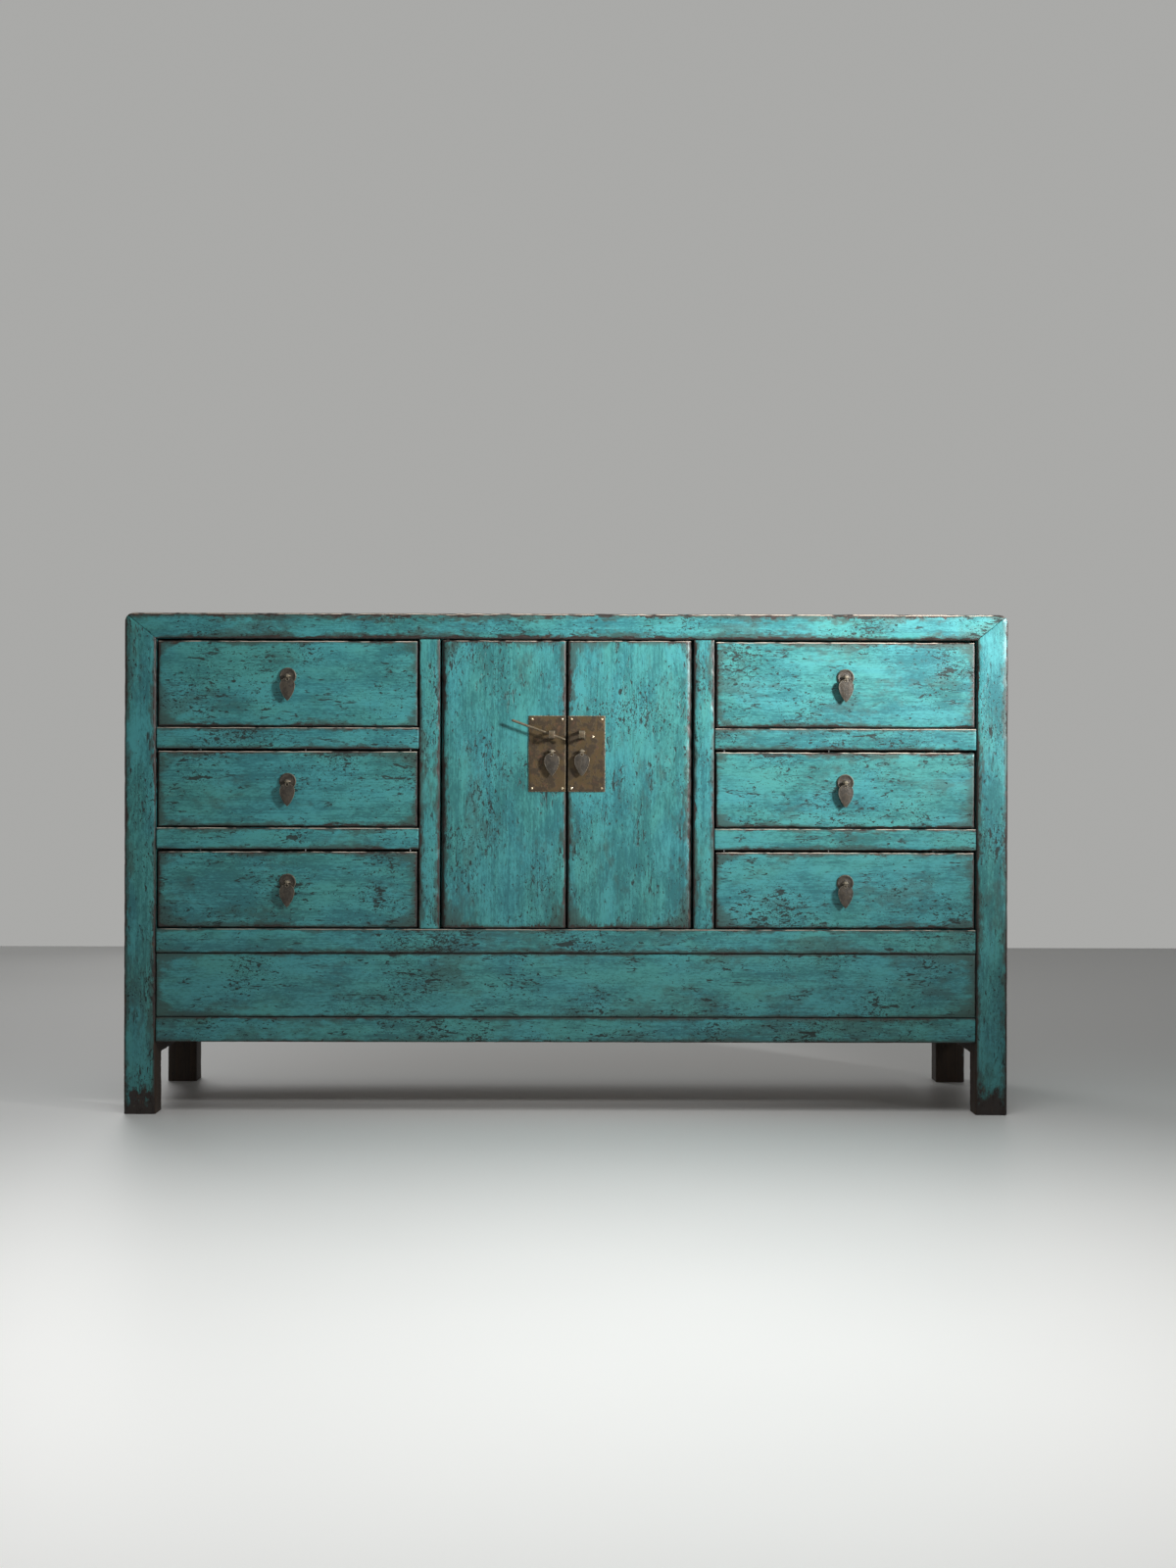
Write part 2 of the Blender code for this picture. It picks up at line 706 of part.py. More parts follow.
def leaf_outline():
    """Half widths of the leaf down its length: a narrow neck, broad shoulders, a blunt point."""
    half_neck = KNUCKLE_LENGTH / 2 - KNUCKLE_GAP
    right = [(half_neck, 0.0), (half_neck, -LEAF_NECK)]
    steps = 12
    for step in range(1, steps):
        share = step / steps
        width = LEAF_WIDTH / 2 * math.sin(math.pi * share**LEAF_SHOULDER) ** LEAF_FULLNESS
        if width > half_neck or share > 0.5:
            right.append((width, -LEAF_NECK - share * (LEAF_LENGTH - LEAF_NECK)))
    tip = [(0.0, -LEAF_LENGTH)]
    left = [(-x, z) for x, z in reversed(right)]
    return right + tip + left


def make_leaf(name, x, y_face, z, parent):
    """A leaf that swings on the cross bar of its eye."""
    y_bar = y_face - EYE_REACH
    body = new_body(f"{name}_swing", (x, y_bar, z), parent)
    blade = curve_object("leaf_blade", [(px, pz, 0.0) for px, pz in leaf_outline()], True)
    blade.data.dimensions = "2D"
    blade.data.fill_mode = "BOTH"
    blade.data.extrude = LEAF_THICKNESS / 2
    blade.rotation_euler = (math.pi / 2, 0.0, 0.0)
    blade.location = (x, y_bar, z)
    leaf = new_piece(name, mesh_of(blade), IRON, body, smooth=True)
    half = KNUCKLE_LENGTH / 2
    knuckle = rod((x - half, y_bar, z), (x + half, y_bar, z), KNUCKLE_RADIUS)
    combine(leaf, new_tool(f"{name}_knuckle", knuckle), "UNION")
    bore_radius = EYE_WIRE_RADIUS + KNUCKLE_GAP
    bore = rod((x - 2 * half, y_bar, z), (x + 2 * half, y_bar, z), bore_radius)
    cut(new_tool(f"{name}_bore", bore), leaf)


def make_rosette(name, x, y_face, z, body):
    """A low domed disc on a drawer front, with the eye that carries its leaf."""
    rings = 4
    profile = [(0.0, ROSETTE_RISE)]
    for ring in range(1, rings + 1):
        share = ring / rings
        rise = ROSETTE_RIM + (ROSETTE_RISE - ROSETTE_RIM) * math.cos(share * math.pi / 2)
        profile.append((ROSETTE_RADIUS * math.sin(share * math.pi / 2), rise))
    profile += [(ROSETTE_RADIUS, 0.0), (0.0, 0.0)]
    bm = bmesh.new()
    verts = [bm.verts.new((radius, 0.0, rise)) for radius, rise in profile]
    edges = [bm.edges.new(pair) for pair in zip(verts, verts[1:])]
    bmesh.ops.spin(
        bm,
        geom=verts + edges,
        cent=(0.0, 0.0, 0.0),
        axis=(0.0, 0.0, 1.0),
        angle=math.tau,
        steps=20,
        use_merge=True,
    )
    bmesh.ops.remove_doubles(bm, verts=bm.verts, dist=1e-6)
    seat = Matrix.Translation((x, y_face - SEAT, z)) @ Matrix.Rotation(math.pi / 2, 4, "X")
    bmesh.ops.transform(bm, matrix=seat, verts=bm.verts)
    rosette = new_piece(name, bm, IRON, body, smooth=True)
    combine(rosette, eye_wire(x, y_face - SEAT - PLATE_THICKNESS, z), "UNION")


# Drawers


def make_drawer(side_name, side, tier, foot, head):
    """A drawer: its lacquered front, its box, and its pull."""
    name = f"drawer_{side_name}_{tier}"
    x_mid = side * (X_STILE_OUT + X_POST_IN) / 2
    half = DRAWER_OPENING_WIDTH / 2 - DRAWER_SIDE_GAP
    body = new_body(f"{name}_slide", (x_mid, Y_DRAWER, foot))
    front = box(
        (x_mid - half, Y_DRAWER, foot + DRAWER_BOTTOM_GAP),
        (x_mid + half, Y_DRAWER + DRAWER_FRONT_THICKNESS, head - DRAWER_TOP_GAP),
        DRAWER_FRONT_EDGE,
    )
    new_piece(f"{name}_front", front, LACQUER, body)
    z_rim = head - DRAWER_BOX_DROP
    tray = box((x_mid - half, Y_DRAWER_BOX, foot + SEAT), (x_mid + half, Y_DRAWER_BACK, z_rim))
    tray_piece = new_piece(f"{name}_box", tray, BARE_WOOD, body)
    inside = box(
        (x_mid - half + DRAWER_WALL, Y_DRAWER_BOX - OVERSIZE, foot + SEAT + DRAWER_BASE),
        (x_mid + half - DRAWER_WALL, Y_DRAWER_BACK - DRAWER_WALL, z_rim + OVERSIZE),
    )
    cut(new_tool(f"{name}_inside", inside), tray_piece)
    z_pull = (foot + head) / 2 + PULL_ABOVE_MIDDLE
    make_rosette(f"{name}_rosette", x_mid, Y_DRAWER, z_pull, body)
    make_leaf(f"{name}_leaf", x_mid, Y_DRAWER - SEAT - PLATE_THICKNESS, z_pull, body)


# Doors and their lock


def make_door(side_name, side, waist_rail, top_rail):
    """A door on two round pegs, with battens behind it and half of the lock plate."""
    body = new_body(f"door_{side_name}_swing", (side * X_PIVOT, Y_PIVOT, Z_OPENING))
    x_meet = DOOR_MEETING_GAP / 2
    z_low, z_high = Z_OPENING + DOOR_FOOT_GAP, Z_TOP_RAIL - DOOR_TOP_GAP
    y_inside = Y_DOOR + DOOR_THICKNESS
    bm = sided_box(side, (x_meet, Y_DOOR, z_low), (X_STILE_IN - DOOR_HINGE_GAP, y_inside, z_high))
    upright = [e for e in bm.edges if abs(e.verts[0].co.z - e.verts[1].co.z) > DOOR_THICKNESS]
    hinge_edges = [e for e in upright if abs(e.verts[0].co.x) > X_PIVOT]
    bevel(bm, hinge_edges, (DOOR_THICKNESS - DOOR_HINGE_FLAT) / 2, 5)
    front_edges = [
        e
        for e in bm.edges
        if all(v.co.y < Y_DOOR + EDGE for v in e.verts) and e.calc_face_angle() > SHARP
    ]
    bevel(bm, front_edges, DOOR_EDGE, 1)
    door = new_piece(f"door_{side_name}", bm, LACQUER, body)
    peg_low, peg_high = Z_OPENING - PEG_LENGTH, Z_TOP_RAIL + PEG_LENGTH
    x_peg = side * X_PIVOT
    pegs = (("foot", peg_low, z_low + PEG_LENGTH), ("head", z_high - PEG_LENGTH, peg_high))
    for end, start, stop in pegs:
        peg = rod((x_peg, Y_PIVOT, start), (x_peg, Y_PIVOT, stop), PEG_RADIUS)
        combine(door, new_tool(f"door_{side_name}_{end}_peg", peg), "UNION")
    socket = rod(
        (x_peg, Y_PIVOT, peg_low - SEAT), (x_peg, Y_PIVOT, peg_high + SEAT), PEG_RADIUS + PEG_CLEARANCE
    )
    cut(new_tool(f"door_{side_name}_sockets", socket), waist_rail, top_rail)
    for end, z_mid in (("low", z_low + BATTEN_FROM_END), ("high", z_high - BATTEN_FROM_END)):
        batten = sided_box(
            side,
            (x_meet + BATTEN_MARGIN, y_inside - BATTEN_THICKNESS / 2, z_mid - BATTEN_HEIGHT / 2),
            (X_PIVOT - BATTEN_MARGIN, y_inside + BATTEN_THICKNESS, z_mid + BATTEN_HEIGHT / 2),
            EDGE,
        )
        combine(door, new_tool(f"door_{side_name}_{end}_batten", batten), "UNION")
    make_plate(side_name, side, body)
    return body


def make_plate(side_name, side, body):
    """Half of the lock plate: a thin sheet with a lug, an eye for its leaf, and nails."""
    x_low = DOOR_MEETING_GAP / 2 + PLATE_MARGIN
    x_high = x_low + PLATE_WIDTH
    y_back = Y_PLATE + PLATE_THICKNESS
    z_high = PLATE_FOOT + PLATE_HEIGHT
    name = f"lock_plate_{side_name}"
    bm = sided_box(side, (x_low, Y_PLATE, PLATE_FOOT), (x_high, y_back, z_high))
    plate = new_piece(name, bm, METAL, body)
    x_lug = side * (DOOR_MEETING_GAP / 2 + LUG_FROM_MEETING)
    z_lug = PLATE_FOOT + LUG_ABOVE_PLATE_FOOT
    half_inside = LUG_WIDTH / 2 * math.tan(PIN_TILT) + PIN_RADIUS / math.cos(PIN_TILT) + SEAT
    half_outside = half_inside + LUG_STRIP
    y_lug = Y_PLATE - LUG_REACH
    lug = box(
        (x_lug - LUG_WIDTH / 2, y_lug, z_lug - half_outside),
        (x_lug + LUG_WIDTH / 2, y_back - PLATE_THICKNESS / 2, z_lug + half_outside),
    )
    combine(plate, new_tool(f"{name}_lug", lug), "UNION")
    loop = box(
        (x_lug - LUG_WIDTH, y_lug + LUG_STRIP, z_lug - half_inside),
        (x_lug + LUG_WIDTH, Y_PLATE - SEAT, z_lug + half_inside),
    )
    cut(new_tool(f"{name}_loop", loop), plate)
    z_leaf = PLATE_FOOT + LEAF_ABOVE_PLATE_FOOT
    combine(plate, eye_wire(x_lug, Y_PLATE, z_leaf), "UNION")
    for x_nail in (x_low + NAIL_INSET, x_high - NAIL_INSET):
        for z_nail in (PLATE_FOOT + NAIL_INSET, z_high - NAIL_INSET):
            head = bmesh.new()
            place = Matrix.Translation((side * x_nail, Y_PLATE, z_nail))
            bmesh.ops.create_uvsphere(
                head,
                u_segments=8,
                v_segments=6,
                radius=NAIL_RADIUS,
                matrix=place @ Matrix.Diagonal((1.0, NAIL_FLATNESS, 1.0, 1.0)),
            )
            combine(plate, new_tool(f"{name}_nail", head), "UNION")
    make_leaf(f"{name}_leaf", x_lug, Y_PLATE, z_leaf, body)


def make_lock_pin(door_body):
    """The slanting pin in the left lug, drawn back until its tip is clear of the right door."""
    x_lug = -(DOOR_MEETING_GAP / 2 + LUG_FROM_MEETING)
    z_lug = PLATE_FOOT + LUG_ABOVE_PLATE_FOOT
    y_pin = Y_PLATE - PIN_OUT
    body = new_body("lock_pin_slide", (x_lug, y_pin, z_lug), door_body)
    along = Vector((math.cos(PIN_TILT), 0.0, -math.sin(PIN_TILT)))
    lug = Vector((x_lug, y_pin, z_lug))
    x_tip = -DOOR_MEETING_GAP / 2 - PIN_TIP_SETBACK - PIN_RADIUS * math.sin(PIN_TILT)
    tip = lug + along * (x_tip - x_lug) / along.x
    bm = rod(tip - along * PIN_LENGTH, tip, PIN_RADIUS)
    rims = [e for e in bm.edges if e.calc_face_angle() > SHARP]
    bevel(bm, rims, PIN_END_ROUND, 2)
    new_piece("lock_pin", bm, METAL, body, smooth=True)


def main():
    """Builds the case, then what moves in it."""
    surface = case_surface()
    posts = make_posts(surface)
    top_rails = make_top_rails(surface)
    waist_rail = make_front_frame(posts, top_rails)
    low_rails = make_low_rails(posts)
    make_panels(posts, top_rails, low_rails)
    make_floor()
    make_partitions()
    make_racks()
    for side_name, side in SIDES:
        for tier, foot, head in TIERS:
            make_drawer(side_name, side, tier, foot, head)
    doors = [make_door(name, side, waist_rail, top_rails["front"]) for name, side in SIDES]
    make_lock_pin(doors[0])


main()
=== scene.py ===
"""Finishes of a worn turquoise lacquer sideboard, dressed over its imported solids.

Metres, +Z up, +X to the right of someone who faces the front, +Y towards the back.
"""

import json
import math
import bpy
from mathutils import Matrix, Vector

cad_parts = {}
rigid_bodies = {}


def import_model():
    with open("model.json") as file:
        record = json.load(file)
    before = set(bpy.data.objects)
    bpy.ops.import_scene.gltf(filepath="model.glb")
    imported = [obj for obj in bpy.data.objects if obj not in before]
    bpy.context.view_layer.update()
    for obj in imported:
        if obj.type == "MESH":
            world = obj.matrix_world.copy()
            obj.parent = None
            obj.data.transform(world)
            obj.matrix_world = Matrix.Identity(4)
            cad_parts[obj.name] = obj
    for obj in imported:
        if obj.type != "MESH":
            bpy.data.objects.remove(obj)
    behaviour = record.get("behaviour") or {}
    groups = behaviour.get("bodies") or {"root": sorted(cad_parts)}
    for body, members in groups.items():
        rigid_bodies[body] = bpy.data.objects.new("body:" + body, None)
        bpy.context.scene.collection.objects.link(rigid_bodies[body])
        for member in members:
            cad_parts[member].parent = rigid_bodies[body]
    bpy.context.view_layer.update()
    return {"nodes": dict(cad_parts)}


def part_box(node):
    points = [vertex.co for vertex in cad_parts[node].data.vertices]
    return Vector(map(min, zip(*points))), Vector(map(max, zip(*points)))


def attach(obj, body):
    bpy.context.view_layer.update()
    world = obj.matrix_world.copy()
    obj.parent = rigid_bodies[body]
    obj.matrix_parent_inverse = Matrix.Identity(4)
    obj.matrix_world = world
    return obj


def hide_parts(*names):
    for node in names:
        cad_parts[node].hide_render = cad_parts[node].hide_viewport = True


bl_info = {
    "name": "Worn lacquer sideboard",
    "version": (1, 0, 0),
    "blender": (4, 5, 0),
    "location": "View3D > Sidebar > Sideboard",
    "description": "Dresses a sideboard's solids with worn boards and patinated hardware",
    "category": "Object",
}

import bpy
import numpy as np
from mathutils import Matrix, Vector

for leftover in list(bpy.data.objects):
    bpy.data.objects.remove(leftover, do_unlink=True)
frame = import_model()

X, Y, Z = 0, 1, 2
SIDES = (("left", -1), ("right", 1))
TIERS = ("bottom", "middle", "top")


def box_of(node):
    """Lowest and highest corner of a solid."""
    return [np.array(corner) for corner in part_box(node)]


# Places read from the frame
POST_LOW, POST_HIGH = box_of("post_front_right")
X_POST, X_OUT = POST_LOW[X], POST_HIGH[X]
Y_FRONT, Y_POST = POST_LOW[Y], POST_HIGH[Y]
Y_BACK = box_of("post_back_right")[1][Y]
Z_TOP_RAIL, Z_TOP = [corner[Z] for corner in box_of("top_rail_front")]
Z_WAIST, Z_OPENING = [corner[Z] for corner in box_of("waist_rail")]
Z_APRON = box_of("bottom_rail_front")[1][Z]
Z_LOW_RAIL = box_of("low_rail_left")[1][Z]
POST_WIDTH = X_OUT - X_POST
POST_DEPTH = Y_POST - Y_FRONT
RAIL_HEIGHT = Z_TOP - Z_TOP_RAIL

# Axis, start and stop of what lies between posts or rails
BETWEEN_SIDES = (X, -X_POST, X_POST)
BETWEEN_ENDS = (Y, Y_POST, Y_BACK - POST_DEPTH)
BETWEEN_RAILS = (Z, Z_LOW_RAIL, Z_TOP_RAIL)

# First seed of each kind of piece
SEEDS = {
    "post": 11, "top_rail": 21, "top_end": 25, "top_plank": 31, "rail": 41, "apron": 45, "stile": 51,
    "drawer_rail": 61, "side_panel": 71, "low_rail": 75, "low_back": 81, "back_plank": 85, "drawer": 101,
    "pull": 201, "door": 301, "batten": 311, "peg": 317, "plate_leaf": 401, "plate": 411, "lug": 421,
    "eye": 431, "nail": 441, "pin": 451,
}


class LacquerSettings(bpy.types.PropertyGroup):
    """Colours and wear of the lacquer."""

    bright: bpy.props.FloatVectorProperty(
        name="Bright lacquer", description="Lacquer where it is clean",
        subtype="COLOR", default=(0.058, 0.295, 0.300),
    )
    deep: bpy.props.FloatVectorProperty(
        name="Deep lacquer", description="Lacquer where it is thin or darkened",
        subtype="COLOR", default=(0.023, 0.147, 0.159),
    )
    green: bpy.props.FloatVectorProperty(
        name="Green tint", description="Multiplies the lacquer where it has yellowed",
        subtype="COLOR", default=(1.0, 0.965, 0.89),
    )
    blue: bpy.props.FloatVectorProperty(
        name="Blue tint", description="Multiplies the lacquer where it has stayed fresh",
        subtype="COLOR", default=(0.92, 0.965, 1.0),
    )
    grime: bpy.props.FloatVectorProperty(
        name="Grime", description="Olive dirt in corners and stains",
        subtype="COLOR", default=(0.025, 0.037, 0.025),
    )
    pit: bpy.props.FloatVectorProperty(
        name="Pits", description="Dark specks and cracks where the lacquer has flaked",
        subtype="COLOR", default=(0.005, 0.011, 0.009),
    )
    bare: bpy.props.FloatVectorProperty(
        name="Bare edges", description="Dark wood where edges are rubbed through",
        subtype="COLOR", default=(0.020, 0.013, 0.010),
    )
    fresh: bpy.props.FloatVectorProperty(
        name="Fresh chips", description="Paler wood in recent chips",
        subtype="COLOR", default=(0.120, 0.070, 0.038),
    )
    # Painted highlight: a pale colour laid on worn edge crests that look up, where light would glint
    crest_glint: bpy.props.FloatVectorProperty(
        name="Painted crest glints", description="Pale, worn crest of edges that look up",
        subtype="COLOR", default=(0.68, 0.58, 0.47),
    )
    edge_reach: bpy.props.FloatProperty(
        name="Edge wear", description="How far the lacquer is rubbed back from an arris",
        unit="LENGTH", default=0.0024,
    )
    pit_size: bpy.props.FloatProperty(
        name="Pit size", description="Width of the small dark specks",
        unit="LENGTH", default=0.0042,
    )
    roughness: bpy.props.FloatProperty(
        name="Roughness", description="Roughness of clean lacquer",
        subtype="FACTOR", default=0.40,
    )


class WoodSettings(bpy.types.PropertyGroup):
    """Colours of the unlacquered wood inside and behind."""

    pale: bpy.props.FloatVectorProperty(
        name="Pale grain", description="Lighter bands of the bare wood",
        subtype="COLOR", default=(0.205, 0.118, 0.064),
    )
    dark: bpy.props.FloatVectorProperty(
        name="Dark grain", description="Darker bands of the bare wood",
        subtype="COLOR", default=(0.085, 0.045, 0.024),
    )


class MetalSettings(bpy.types.PropertyGroup):
    """Colours of the hardware."""

    plate: bpy.props.FloatVectorProperty(
        name="Plate brass", description="Brown patina of the lock plate",
        subtype="COLOR", default=(0.084, 0.056, 0.024),
    )
    plate_stain: bpy.props.FloatVectorProperty(
        name="Plate stain", description="Dark stain on the lock plate",
        subtype="COLOR", default=(0.015, 0.010, 0.008),
    )
    lug: bpy.props.FloatVectorProperty(
        name="Lug brass", description="Handled brass of the lugs, eyes and pin",
        subtype="COLOR", default=(0.122, 0.100, 0.068),
    )
    leaf: bpy.props.FloatVectorProperty(
        name="Leaf metal", description="Grey-brown metal of leaves and rosettes",
        subtype="COLOR", default=(0.062, 0.051, 0.038),
    )
    leaf_stain: bpy.props.FloatVectorProperty(
        name="Leaf stain", description="Dark patina on leaves and rosettes",
        subtype="COLOR", default=(0.015, 0.013, 0.010),
    )
    plate_warm: bpy.props.FloatVectorProperty(
        name="Plate blush", description="Reddish patches on the metal",
        subtype="COLOR", default=(0.150, 0.064, 0.036),
    )
    # Rubbed metal is real wear on rims and nail heads, and painted highlight on the knuckles and eye wires
    rubbed: bpy.props.FloatVectorProperty(
        name="Rubbed metal", description="Bright metal on rubbed edges and nail heads",
        subtype="COLOR", default=(0.62, 0.52, 0.36),
    )


class BoardSettings(bpy.types.PropertyGroup):
    """How finely boards are drawn and how worn their shapes are."""

    along_step: bpy.props.FloatProperty(
        name="Step along", description="Distance between points along a board",
        unit="LENGTH", default=0.0035,
    )
    across_step: bpy.props.FloatProperty(
        name="Step across", description="Distance between points across a board",
        unit="LENGTH", default=0.007,
    )
    arris: bpy.props.FloatProperty(
        name="Arris", description="Radius of an ordinary board edge",
        unit="LENGTH", default=0.0018,
    )
    outer_arris: bpy.props.FloatProperty(
        name="Outer arris", description="Radius of the case's outer edges",
        unit="LENGTH", default=0.0045,
    )
    corner_round: bpy.props.FloatProperty(
        name="Case corner", description="Radius of the case's two upper corners, seen from the front",
        unit="LENGTH", default=0.019,
    )
    ripple: bpy.props.FloatProperty(
        name="Ripple", description="Unevenness of hand-planed faces",
        unit="LENGTH", default=0.0004,
    )
    chip: bpy.props.FloatProperty(
        name="Chip depth", description="Deepest chip in a worn edge",
        unit="LENGTH", default=0.0012,
    )
    seat: bpy.props.FloatProperty(
        name="Joint gap", description="Gap at the joint of two members",
        unit="LENGTH", default=0.0004,
    )


class StageSettings(bpy.types.PropertyGroup):
    """Camera, lights and floor."""

    focal: bpy.props.FloatProperty(
        name="Focal length", description="Camera focal length in pixels of a frame 1600 high",
        default=2143.2,
    )
    eye: bpy.props.FloatVectorProperty(
        name="Camera place", description="Where the camera stands",
        subtype="TRANSLATION", unit="LENGTH", default=(0.0110, -3.8238, 0.5760),
    )
    turn: bpy.props.FloatVectorProperty(
        name="Camera turn", description="Yaw to the left, pitch down and roll of the camera",
        subtype="EULER", unit="ROTATION",
        default=(math.radians(-0.404), math.radians(0.115), math.radians(0.145)),
    )
    floor: bpy.props.FloatVectorProperty(
        name="Floor", description="Colour of the floor",
        subtype="COLOR", default=(0.93, 0.93, 0.91),
    )
    backdrop: bpy.props.FloatVectorProperty(
        name="Backdrop", description="What the camera and glossy surfaces see behind the object",
        subtype="COLOR", default=(0.40, 0.40, 0.39),
    )
    ambient: bpy.props.FloatProperty(
        name="Ambient light", description="Strength of the even light from all round",
        default=0.14,
    )
    key: bpy.props.FloatProperty(
        name="Key light", description="Power of the lamp at the upper right",
        unit="POWER", default=12.8,
    )
    fill: bpy.props.FloatProperty(
        name="Floor light", description="Power of the broad lamp over the floor in front",
        unit="POWER", default=13.0,
    )
    behind: bpy.props.FloatProperty(
        name="Back light", description="Power of the soft lamp behind, which the front doesn't see",
        unit="POWER", default=10.0,
    )


class SideboardSettings(bpy.types.PropertyGroup):
    """All that a user may change."""

    lacquer: bpy.props.PointerProperty(type=LacquerSettings)
    wood: bpy.props.PointerProperty(type=WoodSettings)
    metal: bpy.props.PointerProperty(type=MetalSettings)
    boards: bpy.props.PointerProperty(type=BoardSettings)
    stage: bpy.props.PointerProperty(type=StageSettings)


def settings():
    """The scene's own values."""
    return bpy.context.scene.sideboard


# Surfaces: dictionaries of points, quads, triangles, arris distances and grain places
ARC = 4
END_ROWS = 3
CAP_ROWS = np.array([0.3, 0.7])
NOTCH_SPACING = 0.02
NOTCH_WIDTHS = (0.003, 0.014)
NOTCH_WAVES = 4
RIPPLES = 6
EDGE_SOFTNESS = 0.001
EDGE_LEAST = 0.85
FAR = 0.02
NO_TRIS = np.zeros((0, 3), int)


def surface(points, faces, arris, grain):
    """One surface from its points, its pair of quads and triangles, and its two attributes."""
    quads, tris = faces
    return {"points": points, "quads": quads, "tris": tris, "arris": arris, "grain": grain}


def somewhere(rng):
    """A random place in the grain, so that no two pieces look alike."""
    return rng.uniform(0, 9, 3)


def rounded_section(size, rounds, step):
    """A rounded rectangle about its middle, counter-clockwise from its lower right corner.

    Each point is a centre plus a radius times an outward normal. On a corner's arc the centre
    is fixed and the normal turns a quarter; on the straight run to the next corner the normal
    is fixed and the centre and radius slide from one corner's to the next one's.
    Returns centres, normals, radii, distance to the nearest arris, and that arris's number.
    """
    signs = np.array([(1, -1), (1, 1), (-1, 1), (-1, -1)])
    rounds = np.asarray(rounds, float)
    middles = signs * (np.asarray(size, float) / 2 - rounds[:, None])
    centres, normals, radii, reach, number = [], [], [], [], []
    for k in range(4):
        after = (k + 1) % 4
        turn = np.linspace(k - 1, k, ARC + 1) * math.pi / 2
        centres.append(np.repeat(middles[k][None], ARC + 1, 0))
        normals.append(np.stack([np.cos(turn), np.sin(turn)], 1))
        radii.append(np.full(ARC + 1, rounds[k]))
        reach.append(rounds[k] * np.abs(turn - turn.mean()))
        number.append(np.full(ARC + 1, k))
        growth = rounds[after] - rounds[k]
        run = np.linalg.norm(middles[after] - middles[k] + normals[-1][-1] * growth)
        count = max(2, math.ceil(run / step))
        share = np.arange(1, count) / count
        centres.append(middles[k] + share[:, None] * (middles[after] - middles[k]))
        normals.append(np.repeat(normals[-1][-1:], len(share), 0))
        radii.append(rounds[k] + share * growth)
        reach.append(np.minimum(share, 1 - share) * run + radii[-1] * math.pi / 4)
        number.append(np.where(share < 0.5, k, after))
    return [np.concatenate(part) for part in (centres, normals, radii, reach, number)]


def notches(rng, places, span, depth):
    """Wear along an arris: a slow wave plus rounded notches at random places.

    A notch of width w at p takes depth * max(0, 1 - ((place - p) / w)^2); the deepest counts.
    """
    count = max(2, int(span / NOTCH_SPACING))
    middles = rng.uniform(0.0, span, count)
    widths = rng.uniform(*NOTCH_WIDTHS, count)
    depths = depth * rng.uniform(0.1, 1.0, count) ** 2
    bite = depths * np.clip(1 - ((places[:, None] - middles) / widths) ** 2, 0, None)
    waves = sum(
        np.sin(places * rng.uniform(20, 160) + rng.uniform(0, math.tau)) for _ in range(NOTCH_WAVES)
    )
    return bite.max(1) + depth * 0.06 * (waves + NOTCH_WAVES)


def ripples(rng, along, across, through, depth):
    """Unevenness of a face: a sum of slanting sine waves, taken inward from nothing to depth."""
    total = np.zeros(np.broadcast(along, across, through).shape)
    for _ in range(RIPPLES):
        pitch = rng.uniform(3.0, 14.0)
        lean = rng.uniform(12.0, 60.0)
        total = total + np.sin(along * pitch + (across + through) * lean + rng.uniform(0, math.tau))
    return depth * (total + RIPPLES) / (2 * RIPPLES)


def grid_quads(rows, columns, wrapped_rows):
    """Quads of a grid whose columns wrap round, and its rows too if asked."""
    row, column = np.meshgrid(np.arange(rows - (not wrapped_rows)), np.arange(columns), indexing="ij")
    after, beside = (row + 1) % rows, (column + 1) % columns
    corners = [(row, column), (row, beside), (after, beside), (after, column)]
    return np.stack([line * columns + place for line, place in corners], -1).reshape(-1, 4)


def tube_faces(rows, columns):
    """Quads of a tube of points, its seam wrapped, and the triangles of its two poles."""
    around = np.arange(columns)
    beside = (around + 1) % columns
    first, last = rows * columns, rows * columns + 1
    tail = (rows - 1) * columns
    tris = np.concatenate([
        np.stack([np.full(columns, first), beside, around], 1),
        np.stack([np.full(columns, last), tail + around, tail + beside], 1),
    ])
    return grid_quads(rows, columns, False), tris


